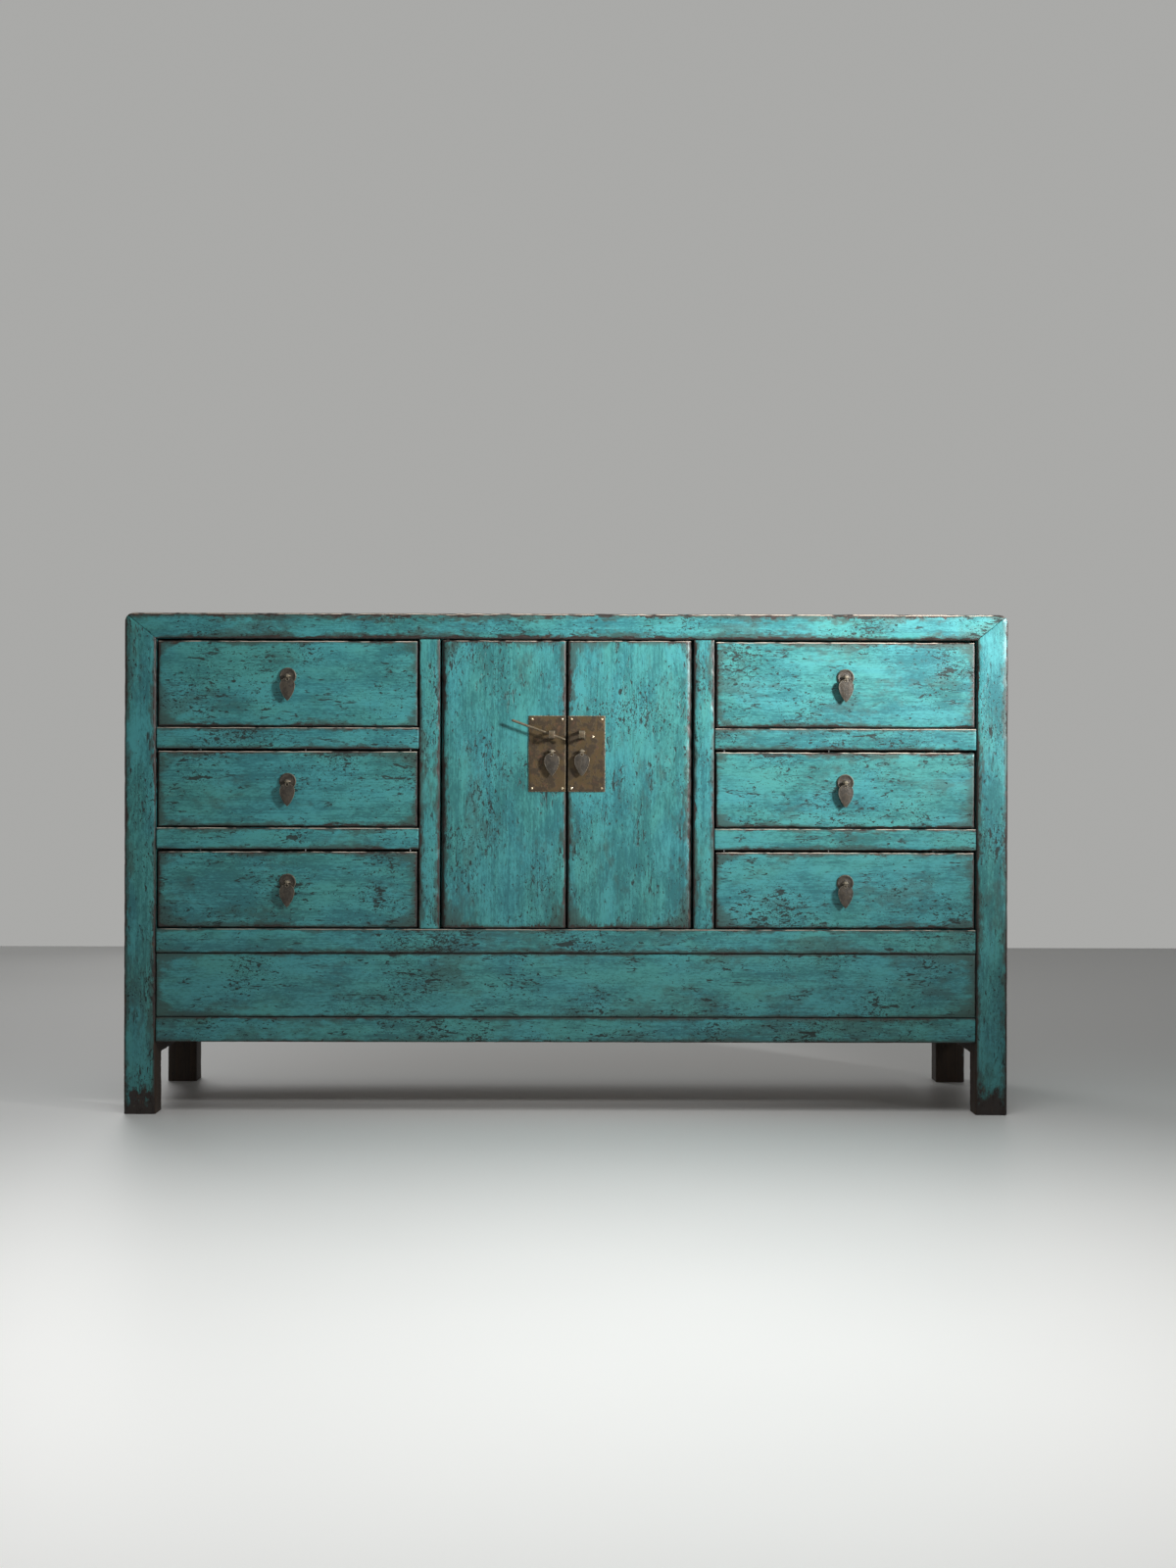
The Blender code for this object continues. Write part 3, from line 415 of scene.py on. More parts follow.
def board(low, high, along, seed, rounds=None, ends=(None, None), end_round=None, wear=1.0,
          worn_ends=True, steps=None, chip=None):
    """A board: a rounded rectangle carried along its length, with uneven faces and worn edges.

    Point(row, column) = along(row) in the length, centre + (radius - inset - wear) * normal in
    the section. At an end the inset follows a quarter circle, then rows shrink to a pole. An
    end given as a function of the section's two coordinates makes a mitre.
    """
    make = settings().boards
    low, high = np.asarray(low, float), np.asarray(high, float)
    rng = np.random.default_rng(seed)
    one, two = (along + 1) % 3, (along + 2) % 3
    size = (high - low)[[one, two]]
    middle = ((high + low) / 2)[[one, two]]
    rounds = [make.arris] * 4 if rounds is None else rounds
    end_round = min(rounds) if end_round is None else end_round
    along_step, across_step = steps or (make.along_step, make.across_step)
    bite = wear * (make.chip if chip is None else chip)
    centre, normal, radius, reach, number = rounded_section(size, rounds, across_step)

    span = high[along] - low[along]
    turn = np.linspace(math.pi / 2, 0.0, END_ROWS + 1)[:-1]
    end_offset = end_round * (1 - np.sin(turn))
    end_inset = end_round * (1 - np.cos(turn))
    share = np.linspace(0.0, 1.0, max(3, round(span / along_step)))
    flat, still = np.zeros(len(CAP_ROWS)), np.zeros(END_ROWS)
    slide = np.concatenate([flat, still, share, still + 1, flat + 1])
    bias = np.concatenate([flat, end_offset, end_round * (1 - 2 * share), -end_offset[::-1], flat])
    cap_inset = flat + end_round
    inset = np.concatenate([cap_inset, end_inset, share * 0, end_inset[::-1], cap_inset])
    shrink = np.concatenate([CAP_ROWS, np.ones(len(share) + 2 * END_ROWS), CAP_ROWS[::-1]])
    place = low[along] + slide * span + bias
    from_end = np.minimum(place - low[along], high[along] - place)

    edges = np.stack([notches(rng, place - low[along], span, bite) for _ in range(4)], 1)
    fade = 0.6 * np.asarray(rounds)[number] + EDGE_SOFTNESS
    loss = edges[:, number] * np.exp(-((reach / fade) ** 2))
    outline = centre + radius[:, None] * normal
    loss = loss + ripples(rng, place[:, None], outline[None, :, 0], outline[None, :, 1], make.ripple)
    loss = np.minimum(loss, EDGE_LEAST * radius[None])
    keep = np.clip(radius[None] - inset[:, None] - loss, 0.0, None)
    section = (centre[None] + keep[:, :, None] * normal[None]) * shrink[:, None, None]
    first, second = section[:, :, 0] + middle[0], section[:, :, 1] + middle[1]

    start = np.full(first.shape, low[along]) if ends[0] is None else ends[0](first, second)
    stop = np.full(first.shape, high[along]) if ends[1] is None else ends[1](first, second)
    length = start * (1 - slide[:, None]) + stop * slide[:, None] + bias[:, None]
    if worn_ends:
        girth = np.cumsum(np.linalg.norm(np.diff(outline, axis=0, prepend=0), axis=1))
        pull = np.stack([notches(rng, girth, girth[-1], bite) for _ in range(2)])
        near = np.exp(-((from_end / (end_round + EDGE_SOFTNESS)) ** 2))[:, None]
        length = length + np.where(slide[:, None] < 0.5, pull[0], -pull[1]) * near

    points = np.zeros(first.shape + (3,))
    points[:, :, along], points[:, :, one], points[:, :, two] = length, first, second
    poles = np.zeros((2, 3))
    poles[:, one], poles[:, two] = middle
    poles[0, along] = start[0].min() if ends[0] is None else ends[0](*middle)
    poles[1, along] = stop[-1].max() if ends[1] is None else ends[1](*middle)
    arris = np.zeros(first.shape + (3,))
    arris[:, :, 0] = reach[None] + np.where(shrink < 1, FAR, 0)[:, None]
    arris[:, :, 1] = np.clip(from_end, 0, None)[:, None] if worn_ends else 1.0
    arris[:, :, 2] = wear
    grain = np.stack([length, first, second], -1) + somewhere(rng)
    return surface(
        np.concatenate([points.reshape(-1, 3), poles]),
        tube_faces(len(place), len(reach)),
        np.concatenate([arris.reshape(-1, 3), np.full((2, 3), FAR)]),
        np.concatenate([grain.reshape(-1, 3), grain[[0, -1], 0]]),
    )


def sweep(path, binormal, outline, seed, scale=None):
    """A closed outline carried along a flat path.

    Point = path + scale * (outline x * normal + outline y * binormal), with the normal square
    to the path in its plane. Both ends close on a pole.
    """
    path, binormal = np.asarray(path, float), np.asarray(binormal, float)
    tangent = np.gradient(path, axis=0)
    tangent /= np.linalg.norm(tangent, axis=1, keepdims=True)
    normal = np.cross(binormal[None], tangent)
    scale = np.ones(len(path)) if scale is None else scale
    offset = outline[None, :, :1] * normal[:, None] + outline[None, :, 1:] * binormal[None, None]
    points = path[:, None] + scale[:, None, None] * offset
    rng = np.random.default_rng(seed)
    travel = np.cumsum(np.linalg.norm(np.diff(path, axis=0, prepend=path[:1]), axis=1))
    count = len(outline)
    grain = np.concatenate(
        [np.repeat(travel[:, None, None], count, 1), np.repeat(outline[None], len(path), 0)], -1
    )
    quads, tris = tube_faces(len(path), count)
    if np.dot(np.cross(offset[0, 0], offset[0, 1]), tangent[0]) < 0:
        quads, tris = quads[:, ::-1], tris[:, ::-1]
    points = np.concatenate([points.reshape(-1, 3), path[[0, -1]]])
    grain = np.concatenate([grain.reshape(-1, 3), grain[[0, -1], 0]]) + somewhere(rng)
    return surface(points, (quads, tris), np.full(points.shape, FAR), grain)


def turned(centre, axis, profile, seed, columns, uneven=0.0):
    """A profile of (radius, height) turned about an axis, from one pole to the other.

    Point = centre + axis * height + radius * (cos, sin), with the radius varied round the turn
    by a few waves where it is uneven.
    """
    rng = np.random.default_rng(seed)
    axis = Vector(axis).normalized()
    across = axis.orthogonal().normalized()
    beside = axis.cross(across)
    profile = np.asarray(profile, float)
    turn = np.arange(columns) * math.tau / columns
    waves = sum(np.sin(turn * k + rng.uniform(0, math.tau)) / k for k in (2, 3, 5, 7))
    ring = np.cos(turn)[:, None] * np.array(across) + np.sin(turn)[:, None] * np.array(beside)
    ring = ring * (1 + uneven * waves)[:, None]
    inner = profile[1:-1]
    points = np.array(centre) + inner[:, None, :1] * ring[None] + inner[:, None, 1:] * np.array(axis)
    poles = np.array(centre) + profile[[0, -1]][:, 1:] * np.array(axis)
    quads, tris = tube_faces(len(inner), columns)
    if profile[-1, 1] < profile[0, 1]:
        quads, tris = quads[:, ::-1], tris[:, ::-1]
    points = np.concatenate([points.reshape(-1, 3), poles])
    arris = np.full(points.shape, FAR)
    arris[:-2, 0] = np.repeat(np.abs(inner[:, 0] - profile[:, 0].max()), columns)
    return surface(points, (quads, tris), arris, points + somewhere(rng))


def ring_shape(radius, count):
    """A circle of points, for a wire or a rod."""
    turn = np.arange(count) * math.tau / count
    return np.stack([np.cos(turn) * radius, np.sin(turn) * radius], 1)


def round_ends(points, centre, half, axis, edge, toward, radius):
    """Draws points in at both ends of X onto a quarter circle that also meets an edge of another axis.

    A point lies a = |x - centre| - (half - radius) and b = toward * (place - edge) + radius from
    the circle's middle. Where a and b are above 0, both shrink by radius / hypot(a, b) if that is
    below 1.
    """
    side = np.sign(points[:, X] - centre)
    over = np.abs(points[:, X] - centre) - (half - radius)
    beyond = toward * (points[:, axis] - edge) + radius
    length = np.hypot(over, beyond)
    out = (over > 0) & (beyond > 0) & (length > radius)
    scale = np.where(out, radius / np.maximum(length, 1e-9), 1.0)
    points[:, X] = np.where(out, centre + side * (half - radius + over * scale), points[:, X])
    points[:, axis] = np.where(out, edge - toward * (radius - beyond * scale), points[:, axis])


# How squarely a face has to look in a direction to count
FACING = 0.6


def dress(name, surfaces, finishes, body, nodes, backs=None, below=None):
    """One object from several surfaces, with its finish, riding on its body in place of its solids.

    Faces that look towards the vector given as backs take the second finish, or only those of
    them whose middle is lower than the height given as below.
    """
    counts = np.cumsum([0] + [len(s["points"]) for s in surfaces])
    points = np.concatenate([s["points"] for s in surfaces])
    quads = np.concatenate([s["quads"] + c for s, c in zip(surfaces, counts)])
    tris = np.concatenate([s["tris"] + c for s, c in zip(surfaces, counts)])
    mesh = bpy.data.meshes.new(name)
    mesh.vertices.add(len(points))
    mesh.vertices.foreach_set("co", points.astype(np.float32).ravel())
    mesh.loops.add(quads.size + tris.size)
    corners = np.concatenate([quads.ravel(), tris.ravel()])
    mesh.loops.foreach_set("vertex_index", corners.astype(np.int32))
    mesh.polygons.add(len(quads) + len(tris))
    starts = np.concatenate([np.arange(len(quads)) * 4, quads.size + np.arange(len(tris)) * 3])
    mesh.polygons.foreach_set("loop_start", starts.astype(np.int32))
    mesh.update(calc_edges=True)
    for key in ("arris", "grain"):
        values = np.concatenate([s[key] for s in surfaces]).astype(np.float32)
        mesh.attributes.new(key, "FLOAT_VECTOR", "POINT").data.foreach_set("vector", values.ravel())
    mesh.shade_smooth()
    for finish in finishes:
        mesh.materials.append(finish)
    if backs is not None:
        facing = np.zeros(len(mesh.polygons) * 3, np.float32)
        mesh.polygons.foreach_get("normal", facing)
        behind = facing.reshape(-1, 3) @ np.asarray(backs, np.float32) > FACING
        if below is not None:
            middles = np.zeros(len(mesh.polygons) * 3, np.float32)
            mesh.polygons.foreach_get("center", middles)
            behind &= middles.reshape(-1, 3)[:, Z] < below
        mesh.polygons.foreach_set("material_index", behind.astype(np.int32))
    piece = bpy.data.objects.new(name, mesh)
    bpy.context.scene.collection.objects.link(piece)
    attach(piece, body)
    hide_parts(*nodes)


# Shader groups and finishes


class Tree:
    """Adds nodes to a shader tree; most methods give back the new node's main socket."""

    def __init__(self, tree):
        self.tree = tree

    def feed(self, node, inputs):
        """Links a node's inputs, by place or name, to outputs, or sets their values."""
        for key, value in inputs.items():
            if isinstance(value, bpy.types.NodeSocket):
                self.tree.links.new(value, node.inputs[key])
            else:
                node.inputs[key].default_value = value

    def node(self, kind, inputs=None, **properties):
        """A node with its properties set by name and its inputs fed."""
        made = self.tree.nodes.new(kind)
        for key, value in properties.items():
            setattr(made, key, value)
        self.feed(made, inputs or {})
        return made

    def math(self, operation, first, second=0.0, clamp=False):
        """One Math node."""
        given = {0: first, 1: second}
        return self.node("ShaderNodeMath", given, operation=operation, use_clamp=clamp).outputs[0]

    def times(self, first, second):
        """A product."""
        return self.math("MULTIPLY", first, second)

    def plus(self, first, value, share, clamp=False):
        """A first value and a share of another."""
        return self.math("ADD", first, self.times(value, share), clamp)

    def minus(self, first, value, share):
        """A first value less a share of another."""
        return self.math("SUBTRACT", first, self.times(value, share))

    def most(self, first, *others):
        """The greatest of several values."""
        for other in others:
            first = self.math("MAXIMUM", first, other)
        return first

    def step(self, value, start, stop):
        """Goes smoothly from 0 at start to 1 at stop."""
        given = {"Value": value, "From Min": start, "From Max": stop}
        return self.node("ShaderNodeMapRange", given, interpolation_type="SMOOTHSTEP").outputs["Result"]

    def passes(self, value, level, width):
        """Goes smoothly from 0 at a level to 1 at a width above it."""
        return self.step(value, level, self.math("ADD", level, width))

    def blend(self, share, first, second, mode="MIX"):
        """Mixes two colours."""
        given = {"Factor": share, "A": first, "B": second}
        return self.node("ShaderNodeMix", given, data_type="RGBA", blend_type=mode).outputs["Result"]

    def noise(self, place, scale, detail=3.0, roughness=0.55, distortion=0.0):
        """A noise value from 0 to 1."""
        given = {"Vector": place, "Scale": scale, "Detail": detail}
        given.update({"Roughness": roughness, "Distortion": distortion})
        return self.node("ShaderNodeTexNoise", given).outputs["Fac"]

    def stretch(self, place, along, across):
        """A place divided by a length along the grain and a width across it."""
        scale = self.node("ShaderNodeCombineXYZ", {"X": along, "Y": across, "Z": across}).outputs[0]
        return self.node("ShaderNodeVectorMath", {0: place, 1: scale}, operation="DIVIDE").outputs[0]

    def grained(self, place, along, across, detail=3.0, roughness=0.55, distortion=0.0):
        """Noise with spots so long along the grain and so wide across it."""
        return self.noise(self.stretch(place, along, across), 1.0, detail, roughness, distortion)

    def attribute(self, name):
        """A mesh attribute as a vector."""
        return self.node("ShaderNodeAttribute", attribute_name=name).outputs["Vector"]

    def coordinate(self, name):
        """A texture coordinate."""
        return self.node("ShaderNodeTexCoord").outputs[name]

    def parts(self, vector):
        """The three parts of a vector."""
        return list(self.node("ShaderNodeSeparateXYZ", {0: vector}).outputs)


def new_group(name, inputs, outputs):
    """An empty shader group with named sockets; gives the group, its tree and its inputs."""
    group = bpy.data.node_groups.new(name, "ShaderNodeTree")
    for key, kind, value in inputs:
        socket = group.interface.new_socket(key, in_out="INPUT", socket_type=kind)
        if value is not None:
            socket.default_value = value
    for key, kind in outputs:
        group.interface.new_socket(key, in_out="OUTPUT", socket_type=kind)
    tree = Tree(group)
    given = tree.node("NodeGroupInput").outputs
    return group, tree, given


def close_group(tree, **results):
    """Links a group's results to its outputs."""
    tree.node("NodeGroupOutput", results)


FLOAT, VECTOR = "NodeSocketFloat", "NodeSocketVector"


def streak_group():
    """Fine lines along the grain: noise squeezed across it, at two widths."""
    group, tree, given = new_group(
        "grain_streaks",
        [("Place", VECTOR, None), ("Length", FLOAT, 0.08), ("Width", FLOAT, 0.003)],
        [("Streak", FLOAT)],
    )
    coarse = tree.grained(given["Place"], given["Length"], given["Width"], 4.0, 0.65)
    broad = tree.grained(given["Place"], given["Length"], tree.times(given["Width"], 4.0), 3.0, 0.5)
    close_group(tree, Streak=tree.plus(tree.times(coarse, 0.55), broad, 0.45))
    return group


def pit_group():
    """Flaked specks: islands where stretched noise passes a level that wanders over the board."""
    group, tree, given = new_group(
        "flaked_pits",
        [("Place", VECTOR, None), ("Size", FLOAT, 0.003), ("Stretch", FLOAT, 3.0), ("Level", FLOAT, 0.68)],
        [("Pit", FLOAT)],
    )
    along = tree.times(given["Size"], given["Stretch"])
    speck = tree.grained(given["Place"], along, given["Size"], 3.0, 0.6, 0.4)
    wander = tree.noise(given["Place"], 9.0, 2.0)
    level = tree.plus(given["Level"], tree.math("SUBTRACT", 0.5, wander), 0.38)
    close_group(tree, Pit=tree.passes(speck, level, 0.022))
    return group


def crack_group():
    """Short dark cracks along the grain: thin bands where stretched noise crosses its middle."""
    group, tree, given = new_group(
        "grain_cracks",
        [("Place", VECTOR, None), ("Length", FLOAT, 0.06), ("Width", FLOAT, 0.010), ("Level", FLOAT, 0.6)],
        [("Crack", FLOAT)],
    )
    field = tree.grained(given["Place"], given["Length"], given["Width"], 3.0, 0.5, 0.15)
    away = tree.math("ABSOLUTE", tree.math("SUBTRACT", field, 0.5))
    where = tree.passes(tree.grained(given["Place"], 0.05, 0.02, 2.0), given["Level"], 0.06)
    close_group(tree, Crack=tree.times(tree.step(away, 0.020, 0.006), where))
    return group


def edge_group():
    """Rubbed edges: bare within a ragged reach of an arris, with a dark fringe a little further in, and
    spots on the arris's crest that take a painted highlight.
    """
    group, tree, given = new_group(
        "rubbed_edges",
        [("Place", VECTOR, None), ("Arris", VECTOR, None), ("Reach", FLOAT, 0.003)],
        [("Bare", FLOAT), ("Fringe", FLOAT), ("Corner", FLOAT), ("Crest", FLOAT)],
    )
    place = given["Place"]
    side, end, wear = tree.parts(given["Arris"])
    near = tree.math("MINIMUM", side, end)
    sharp = tree.step(tree.grained(place, 0.016, 0.006, 5.0, 0.65), 0.30, 0.72)
    patch = tree.step(tree.noise(place, 11.0, 2.0), 0.30, 0.68)
    local = tree.times(tree.times(given["Reach"], wear), tree.plus(0.45, tree.times(sharp, patch), 3.2))
    bare = tree.step(near, local, tree.times(local, 0.7))
    fringe = tree.step(near, tree.plus(0.004, local, 2.6), local)
    corner = tree.step(tree.math("SQRT", tree.times(side, end)), 0.034, 0.004)
    # Spots along the crest of an arris, on pieces worn enough, that take a painted highlight
    rubbed = tree.step(tree.grained(place, 0.045, 0.02, 4.0, 0.6), 0.40, 0.52)
    crest_glint = tree.times(tree.step(near, 0.0013, 0.0007), rubbed)
    crest_glint = tree.times(crest_glint, tree.step(wear, 0.40, 0.70))
    close_group(tree, Bare=bare, Fringe=fringe, Corner=corner, Crest=crest_glint)
    return group


def grime_group():
    """Stains: broad soft patches, stronger where a mask says, with a mottled edge."""
    group, tree, given = new_group(
        "grime_stains",
        [("Place", VECTOR, None), ("Near", FLOAT, 0.0), ("Level", FLOAT, 0.62)],
        [("Grime", FLOAT)],
    )
    broad = tree.grained(given["Place"], 0.11, 0.055, 4.0, 0.6)
    fine = tree.grained(given["Place"], 0.018, 0.008, 4.0, 0.65)
    total = tree.plus(broad, tree.math("SUBTRACT", fine, 0.5), 0.60)
    total = tree.plus(total, given["Near"], 0.26)
    close_group(tree, Grime=tree.passes(total, given["Level"], 0.20))
    return group


def patina_group():
    """Patches of stain on metal, and bright rubbed rims next to an arris; where the arris is set close
    everywhere, the bright patches are partly painted highlight.
    """
    group, tree, given = new_group(
        "metal_patina",
        [("Place", VECTOR, None), ("Arris", VECTOR, None), ("Size", FLOAT, 0.012), ("Reach", FLOAT, 0.0008)],
        [("Stain", FLOAT), ("Rubbed", FLOAT), ("Grainy", FLOAT), ("Blush", FLOAT)],
    )
    place = tree.stretch(given["Place"], given["Size"], given["Size"])
    stain = tree.step(tree.noise(place, 1.0, 6.0, 0.68), 0.45, 0.55)
    grainy = tree.noise(place, 9.0, 3.0, 0.6)
    blush = tree.step(tree.noise(place, 1.7, 4.0, 0.7, 0.5), 0.52, 0.70)
    side, end, _ = tree.parts(given["Arris"])
    near = tree.math("MINIMUM", side, end)
    edge = tree.step(near, given["Reach"], tree.times(given["Reach"], 0.3))
    rubbed = tree.times(edge, tree.step(grainy, 0.40, 0.62))
    close_group(tree, Stain=stain, Rubbed=rubbed, Grainy=grainy, Blush=blush)
    return group


GROUP_MAKERS = {
    "streak": streak_group,
    "pit": pit_group,
    "crack": crack_group,
    "edge": edge_group,
    "grime": grime_group,
    "patina": patina_group,
}
GROUPS = {}
FINISHES = {}


def use_group(tree, name, **inputs):
    """Places a group, made once, in a material and gives its outputs."""
    if name not in GROUPS:
        GROUPS[name] = GROUP_MAKERS[name]()
    return tree.node("ShaderNodeGroup", inputs, node_tree=GROUPS[name]).outputs


def opaque(colour, shade=1.0):
    """A colour, lighter or darker by a shade, with full alpha."""
    return (*(part * shade for part in colour), 1.0)


def new_material(name):
    """A material with an empty tree and its Principled shader."""
    material = bpy.data.materials.new(name)
    material.use_nodes = True
    tree = Tree(material.node_tree)
    shader = material.node_tree.nodes["Principled BSDF"]
    return material, tree, shader


def raise_surface(tree, shader, height, distance):
    """Feeds a height to the shader's normal through a Bump node."""
    bump = tree.node("ShaderNodeBump", {"Strength": 1.0, "Distance": distance, "Height": height})
    tree.feed(shader, {"Normal": bump.outputs["Normal"]})


# Share of the pit size, stretch and level of three kinds of speck
PITS = ((1.0, 2.2, 0.635), (2.6, 3.4, 0.675), (0.45, 1.7, 0.645))
# Length, width and level of two kinds of crack
CRACKS = ((0.05, 0.009, 0.56), (0.17, 0.014, 0.63))


def lacquer_finish():
    """Turquoise lacquer: streaked, stained, pitted, cracked and rubbed through at its edges and feet, with
    painted highlights on edge crests that look up.
    """
    look = settings().lacquer
    material, tree, shader = new_material("worn_lacquer")
    place = tree.attribute("grain")
    height = tree.parts(tree.coordinate("Object"))[Z]
    streak = use_group(tree, "streak", Place=place, Length=0.10, Width=0.0028)["Streak"]
    edges = use_group(tree, "edge", Place=place, Arris=tree.attribute("arris"), Reach=look.edge_reach)
    marks = [
        use_group(tree, "pit", Place=place, Size=look.pit_size * size, Stretch=stretch, Level=level)["Pit"]
        for size, stretch, level in PITS
    ]
    marks += [
        use_group(tree, "crack", Place=place, Length=length, Width=width, Level=level)["Crack"]
        for length, width, level in CRACKS
    ]
    marks = tree.most(*marks)
    near = tree.most(edges["Corner"], tree.times(edges["Fringe"], 0.85))
    dirty = tree.plus(near, tree.step(height, 0.50, 0.05), 0.24)
    grime = use_group(tree, "grime", Place=place, Near=dirty, Level=0.53)["Grime"]

    tone = tree.noise(place, 0.9, 1.0)
    cloud = tree.grained(place, 0.09, 0.045, 5.0, 0.62)
    mottle = tree.grained(place, 0.009, 0.003, 4.0, 0.7)
    mixed = tree.plus(tree.times(cloud, 0.8), streak, 0.9)
    mixed = tree.plus(mixed, tree.math("SUBTRACT", tone, 0.5), 0.3)
    mixed = tree.plus(mixed, tree.math("SUBTRACT", mottle, 0.5), 0.8)
    colour = tree.blend(tree.step(mixed, 0.66, 1.02), opaque(look.deep), opaque(look.bright))
    patch = tree.grained(place, 0.15, 0.06, 4.0, 0.6, 0.3)
    tint = tree.blend(tree.step(patch, 0.36, 0.64), opaque(look.green), opaque(look.blue))
    colour = tree.blend(1.0, colour, tint, "MULTIPLY")
    dirt = tree.plus(0.46, near, 0.34, clamp=True)
    colour = tree.blend(tree.times(grime, dirt), colour, opaque(look.grime))
    colour = tree.blend(tree.times(marks, 0.92), colour, opaque(look.pit))

    ragged = tree.grained(place, 0.022, 0.014, 5.0, 0.65)
    level = tree.minus(height, tree.math("SUBTRACT", ragged, 0.5), 0.16)
    foot = tree.step(level, 0.058, 0.026)
    bare = tree.most(edges["Bare"], foot)
    chip = tree.step(tree.grained(place, 0.02, 0.008, 4.0, 0.6), 0.60, 0.70)
    wood = tree.blend(tree.times(chip, 0.45), opaque(look.bare), opaque(look.fresh))
    colour = tree.blend(bare, colour, wood)
    # Painted highlight: the pale colour on edge crests whose normals look up, where light would glint
    lift = tree.parts(tree.coordinate("Normal"))[Z]
    upward = tree.times(tree.step(lift, 0.15, 0.55), tree.step(lift, 0.99, 0.93))
    colour = tree.blend(tree.times(edges["Crest"], upward), colour, opaque(look.crest_glint))

    rough = tree.plus(look.roughness - 0.08, cloud, 0.16)
    rough = tree.plus(tree.plus(rough, marks, 0.26), foot, 0.30)
    rough = tree.plus(rough, grime, 0.12, clamp=True)
    tree.feed(shader, {"Base Color": colour, "Roughness": rough})
    tree.feed(shader, {"Coat Weight": 0.12, "Coat Roughness": 0.32})
    relief = tree.minus(tree.minus(tree.times(streak, 0.35), marks, 0.8), bare, 0.9)
    raise_surface(tree, shader, relief, 0.0004)
    return material


def wood_finish(name, place_source, shade=1.0):
    """Unlacquered wood: pale and dark bands along the grain, with pores and dirt; a shade below 1 darkens it
    all as painted shade.
    """
    look = settings().wood
    material, tree, shader = new_material(name)
    place = place_source(tree)
    streak = use_group(tree, "streak", Place=place, Length=0.22, Width=0.004)["Streak"]
    pore = use_group(tree, "pit", Place=place, Size=0.0012, Stretch=14.0, Level=0.66)["Pit"]
    crack = use_group(tree, "crack", Place=place, Length=0.20, Width=0.012, Level=0.60)["Crack"]
    grime = use_group(tree, "grime", Place=place, Near=0.0, Level=0.52)["Grime"]
    bands = tree.step(streak, 0.36, 0.62)
    colour = tree.blend(bands, opaque(look.dark, shade), opaque(look.pale, shade))
    colour = tree.blend(tree.times(grime, 0.5), colour, opaque(look.dark, shade * 0.5))
    marks = tree.most(tree.times(pore, 0.6), crack)
    colour = tree.blend(tree.times(marks, 0.7), colour, opaque(look.dark, shade * 0.3))
    tree.feed(shader, {"Base Color": colour, "Roughness": tree.plus(0.62, streak, 0.22)})
    raise_surface(tree, shader, tree.minus(streak, marks, 0.6), 0.0004)
    return material


def grain_attribute(tree):
    """The grain place that a new board carries."""
    return tree.attribute("grain")


def grain_turned(turn):
    """Object coordinates turned so that their first part runs along the grain of a solid."""

    def source(tree):
        given = {"Rotation": turn, "Vector": tree.coordinate("Object")}
        return tree.node("ShaderNodeMapping", given).outputs["Vector"]

    return source


def metal_finish(name, base, stain, metallic, roughness, size, blush=0.5):
    """Aged metal: stained in patches, grainy, and rubbed bright along its rims."""
    look = settings().metal
    material, tree, shader = new_material(name)
    place, arris = tree.attribute("grain"), tree.attribute("arris")
    patina = use_group(tree, "patina", Place=place, Arris=arris, Size=size, Reach=0.0010)
    colour = tree.blend(tree.times(patina["Stain"], 0.8), opaque(base), opaque(stain))
    colour = tree.blend(tree.times(patina["Blush"], blush), colour, opaque(look.plate_warm))
    colour = tree.blend(tree.times(patina["Grainy"], 0.35), colour, opaque(base, 1.5))
    colour = tree.blend(tree.times(patina["Rubbed"], 0.6), colour, opaque(look.rubbed))
    rough = tree.minus(tree.plus(roughness, patina["Stain"], 0.14), patina["Rubbed"], 0.15)
    tree.feed(shader, {"Base Color": colour, "Roughness": rough, "Metallic": metallic})
    raise_surface(tree, shader, tree.math("ADD", patina["Grainy"], patina["Stain"]), 0.00015)
    return material


def finish_of(name):
    """A finish, made once."""
    metal = settings().metal
    makers = {
        "lacquer": (lacquer_finish,),
        "wood": (wood_finish, "bare_wood", grain_attribute),
        # Leg wood: the bare wood darkened to about a fifth, as painted shade under the case
        "leg_wood": (wood_finish, "leg_wood", grain_attribute, 0.22),
        "wood_across": (wood_finish, "bare_wood_across", grain_turned((0.0, 0.0, 0.0))),
        "wood_deep": (wood_finish, "bare_wood_deep", grain_turned((0.0, 0.0, math.pi / 2))),
        "plate": (metal_finish, "plate_brass", metal.plate, metal.plate_stain, 0.30, 0.42, 0.016),
        "lug": (metal_finish, "lug_brass", metal.lug, metal.plate, 0.45, 0.38, 0.006),
        "leaf": (metal_finish, "leaf_metal", metal.leaf, metal.leaf_stain, 0.25, 0.38, 0.008, 0.1),
        "nail": (metal_finish, "nail_brass", metal.rubbed, metal.plate, 0.85, 0.28, 0.003),
    }
    if name not in FINISHES:
        maker, *given = makers[name]
        FINISHES[name] = maker(*given)
    return FINISHES[name]


# The case
COARSE_BACK = (0.008, 0.012)
COARSE_BOX = (0.010, 0.012)
COARSE_BATTEN = (0.008, 0.008)
FINE_FRONT = (0.0035, 0.0045)
FINE_SHEET = (0.003, 0.003)
HIDDEN_ARRIS = 0.001
TOP_PLANKS = 2
BACK_PLANKS = 7


def corner_shares(x=None, y=None, z=None):
    """How far a place lies in from the case's outer corner, as shares of the corner block."""
    shares = []
    if x is not None:
        shares.append((X_OUT - np.abs(x)) / POST_WIDTH)
    if y is not None:
        shares.append(np.minimum(y - Y_FRONT, Y_BACK - y) / POST_DEPTH)
    if z is not None:
        shares.append((Z_TOP - z) / RAIL_HEIGHT)
    return np.clip(np.maximum(*shares), 0.0, None)


def seated(node, *spans):
    """A solid's box with some extents replaced, each short of its neighbours by the joint gap."""
    low, high = box_of(node)
    seat = settings().boards.seat
    for axis, start, stop in spans:
        low[axis], high[axis] = start + seat, stop - seat
    return low, high


